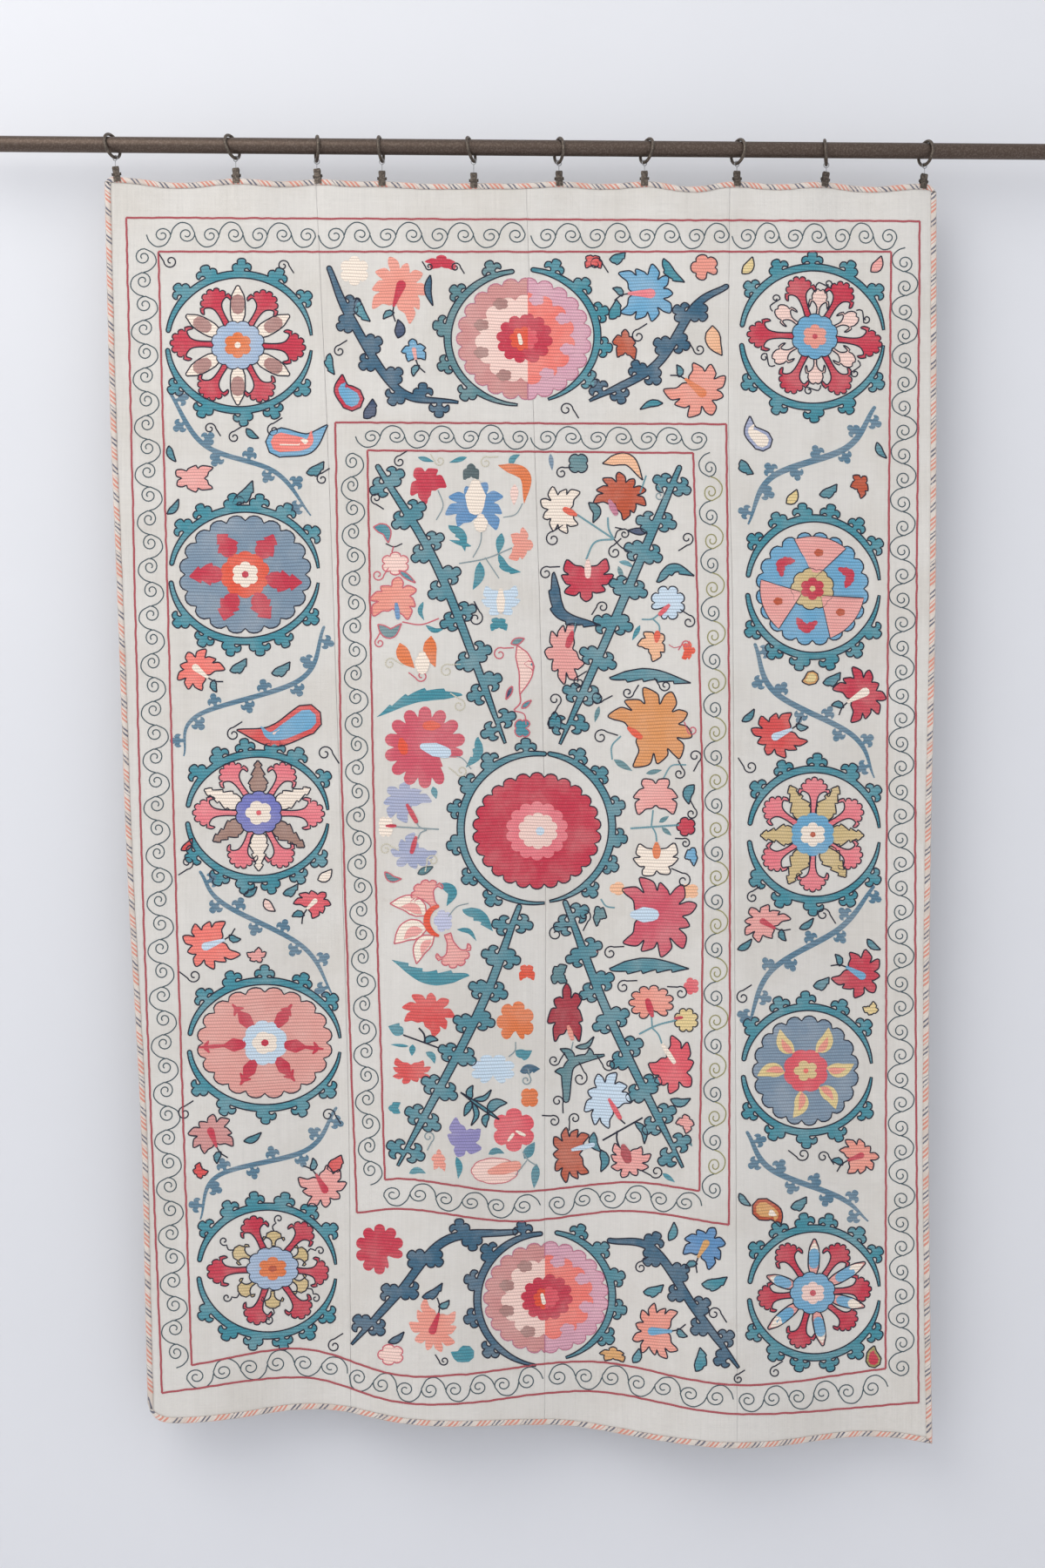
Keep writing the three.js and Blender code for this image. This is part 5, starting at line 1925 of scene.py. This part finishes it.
def clip_plate(side, material):
    """One jaw: a ribbed plate with a swelling at the spring and a lip at the mouth."""
    bpy.ops.mesh.primitive_grid_add(x_subdivisions=JAW_COLUMNS, y_subdivisions=JAW_ROWS, size=1)
    plate = start_piece("jaw", material)
    for v in plate.data.vertices:
        z = (v.co.y + 0.5) * (CLIP_HEIGHT - JAW_SHORTER)
        narrow = 1 - swell(z, WAIST_AT, 3, 0.1) - 0.16 * max(0, (z - SHOULDER_AT) / 3)
        ribbed = RIBS[0] < z < RIBS[1]
        ribs = 0.32 * math.sin((z - RIBS[0]) * math.pi / RIB_PITCH) ** 2 if ribbed else 0
        lean = -0.9 * max(0, (z - LEAN_AT) / 11) ** 1.5
        lip = swell(z, 0, 1.2, 0.35)
        out = CLIP_SLOT + swell(z, LUG_HEIGHT, 3.2, 0.55) + ribs + lean + lip - 0.25 * (v.co.x * 2) ** 2
        v.co = Vector((v.co.x * CLIP_WIDTH * narrow, out * side, z)) * MM
    if side < 0:
        plate.data.flip_normals()
    solid = plate.modifiers.new("Solidify", "SOLIDIFY")
    solid.thickness = CLIP_PLATE * MM
    solid.offset = -1
    bevelled(plate, JAW_BEVEL, 2).angle_limit = math.radians(50)
    apply_all(plate)
    return plate


def clip_mesh(material):
    """A clip: two jaws, their folded head, the pin and two turns of spring at each side."""
    parts = [clip_plate(-1, material), clip_plate(1, material)]
    head = CLIP_HEIGHT - FOLD_DROP
    parts.append(bar("fold", FOLD_RADIUS, CLIP_WIDTH * 0.86, 24, material, ALONG_ROD, head))
    parts.append(bar("pin", PIN_RADIUS, LUG_SPAN, 20, material, ALONG_ROD, LUG_HEIGHT))
    for side in (-1, 1):
        for turn in range(2):
            at = (side * (CLIP_WIDTH / 2 + COIL_GAP + turn * COIL_PITCH), 0, LUG_HEIGHT)
            parts.append(wire_loop("coil", COIL_RADIUS, COIL_WIRE, (24, 8), material, ALONG_ROD, at))
    return join(parts, "clip")


def ring_seat(turned):
    """Height of a turned and leaning ring's middle at which it rests just over the rod."""
    angles = np.linspace(0, 2 * math.pi, 120, endpoint=False)
    spots = [turned @ Vector((0, math.cos(a), math.sin(a))) * RING_RADIUS for a in angles]
    low, high = -RING_RADIUS / 2, 0.0
    for _ in range(30):
        middle = (low + high) / 2
        if all(math.hypot(p.y, p.z + middle) >= RING_CLEARANCE for p in spots):
            high = middle
        else:
            low = middle
    return high


def copy_of(made):
    twin = made.copy()
    twin.data = made.data.copy()
    bpy.context.scene.collection.objects.link(twin)
    return twin


def hangers(ring_metal, eye_metal, clip_metal):
    """Each hanger: a clip on the cloth, a ring over the rod and the wire eye between them."""
    ring = wire_loop("ring", RING_RADIUS, RING_WIRE, (64, 20), ring_metal, ALONG_ROD)
    clip = clip_mesh(clip_metal)
    for k, (clip_x, edge, _, turn, tilt, ring_x, ring_turn) in enumerate(HANGERS):
        number = f"{k + 1:02d}"
        turned = Matrix.Rotation(math.radians(turn), 4, "Z") @ Matrix.Rotation(-math.radians(tilt), 4, "Y")
        foot = Vector((clip_x, 0, edge - CLIP_BITE))
        top = turned @ Vector((0, 0, CLIP_HEIGHT)) + foot
        bite = Matrix.Translation(foot * MM) @ turned
        placed(copy_of(clip), bite, f"ring_clip_{number}", f"clip_{number}")
        lean = math.asin((top.x - ring_x) / (2 * RING_RADIUS))
        facing = Matrix.Rotation(math.radians(ring_turn), 4, "Z")
        hung = Matrix.Rotation(-lean, 4, "Y") @ facing
        middle = Vector(((top.x + ring_x) / 2, 0, ring_seat(hung)))
        seat = Matrix.Translation(middle * MM) @ hung
        placed(copy_of(ring), seat, f"curtain_ring_{number}", f"ring_{number}")
        low = (hung @ Vector((0, 0, -RING_RADIUS)) + middle).z
        centre = low - EYE_RADIUS + RING_WIRE + EYE_WIRE + EYE_PLAY
        shank = centre - EYE_RADIUS - top.z - SHANK_PLAY
        spin = Matrix.Translation(Vector((top.x, top.y, centre)) * MM) @ facing
        placed(eye_mesh(shank, eye_metal), spin, f"wire_eye_{number}", f"eye_{number}")
    for spare in (ring, clip):
        bpy.data.objects.remove(spare)


# Room, light and camera, in metres
FLOOR_Z = -2.62
FLOOR_Y = -2.0
WALL_Y = 0.085
ROOM_SIZE = 12
ROOM_LIGHT = (0.93, 0.95, 1.0, 1)
ROOM_STRENGTH = 0.84
LAMP_SPOT = (-1.9, -2.5, 1.4)
LAMP_AIM = (0.0, 0, -0.6)
LAMP_SIZE = 3.2
LAMP_POWER = 54
LAMP_COLOUR = (1.0, 0.985, 0.96)
VIEW_END = 40


def stage_plane(name, centre, rotation, material):
    """A large square of the room, which isn't part of the object."""
    bpy.ops.mesh.primitive_plane_add(size=ROOM_SIZE, location=centre, rotation=rotation)
    plane = bpy.context.active_object
    plane.name = name
    plane.data.materials.append(material)


def room():
    """A pale wall and floor."""
    pale = plaster("pale_plaster", (0.80, 0.803, 0.822))
    stage_plane("pale_floor", (0, FLOOR_Y, FLOOR_Z), (0, 0, 0), pale)
    stage_plane("pale_backdrop", (0, WALL_Y, FLOOR_Z + ROOM_SIZE / 2), FACING, pale)


def aimed(name, data, spot, way):
    """A lamp or camera set down at a spot and turned to look a given way."""
    made = bpy.data.objects.new(name, data)
    made.location = spot
    made.rotation_mode = "QUATERNION"
    made.rotation_quaternion = way.to_track_quat("-Z", "Y")
    bpy.context.scene.collection.objects.link(made)
    return made


def window_light():
    """A large soft lamp, high at the left."""
    data = bpy.data.lights.new("window_light", "AREA")
    data.shape = "DISK"
    data.size = LAMP_SIZE
    data.energy = LAMP_POWER
    data.color = LAMP_COLOUR
    aimed("window_light", data, LAMP_SPOT, Vector(LAMP_AIM) - Vector(LAMP_SPOT))


def light():
    """Even light from the room, and the window's lamp."""
    world = bpy.data.worlds.new("pale_room")
    world.use_nodes = True
    sky = world.node_tree.nodes["Background"]
    sky.inputs[0].default_value = ROOM_LIGHT
    sky.inputs[1].default_value = ROOM_STRENGTH
    bpy.context.scene.world = world
    window_light()
    bpy.context.scene.view_settings.view_transform = "Standard"


def camera():
    """The photograph's camera."""
    data = bpy.data.cameras.new("camera")
    away = Vector(AIM) - Vector(EYE)
    data.sensor_width = SENSOR
    data.lens = SENSOR * away.length / (PHOTO_HEIGHT * PIXEL)
    data.clip_end = VIEW_END
    bpy.context.scene.camera = aimed("camera", data, Vector(EYE) * MM, away)


camera()
light()
room()

woven = cotton()
strips = [cloth_strip(k, woven) for k in range(STRIP_COUNT)]
striped = striped_cotton()
edges = bindings(striped)

side_columns()
end_strips()
centre_field()
field_flowers()
column_flowers()
strip_flowers()
all_borders()
laid = laid_thread()
corded = corded_thread()
vines.make(laid)
flowers.make(laid)
outlines.make(corded)
borders.make(corded)

rod_bronze = metal("rod_bronze", (0.105, 0.075, 0.058), (0.17, 0.13, 0.105), 0.34, (0.02, 1, 1))
ring_bronze = metal("ring_bronze", (0.10, 0.08, 0.065), (0.22, 0.18, 0.14), 0.3, (1, 1, 1))
eye_steel = metal("eye_steel", (0.32, 0.32, 0.33), (0.5, 0.5, 0.5), 0.25, (1, 1, 1))
clip_bronze = metal("clip_bronze", (0.075, 0.06, 0.05), (0.2, 0.165, 0.13), 0.36, (1, 1, 1))
curtain_rod(rod_bronze)
hangers(ring_bronze, eye_steel, clip_bronze)
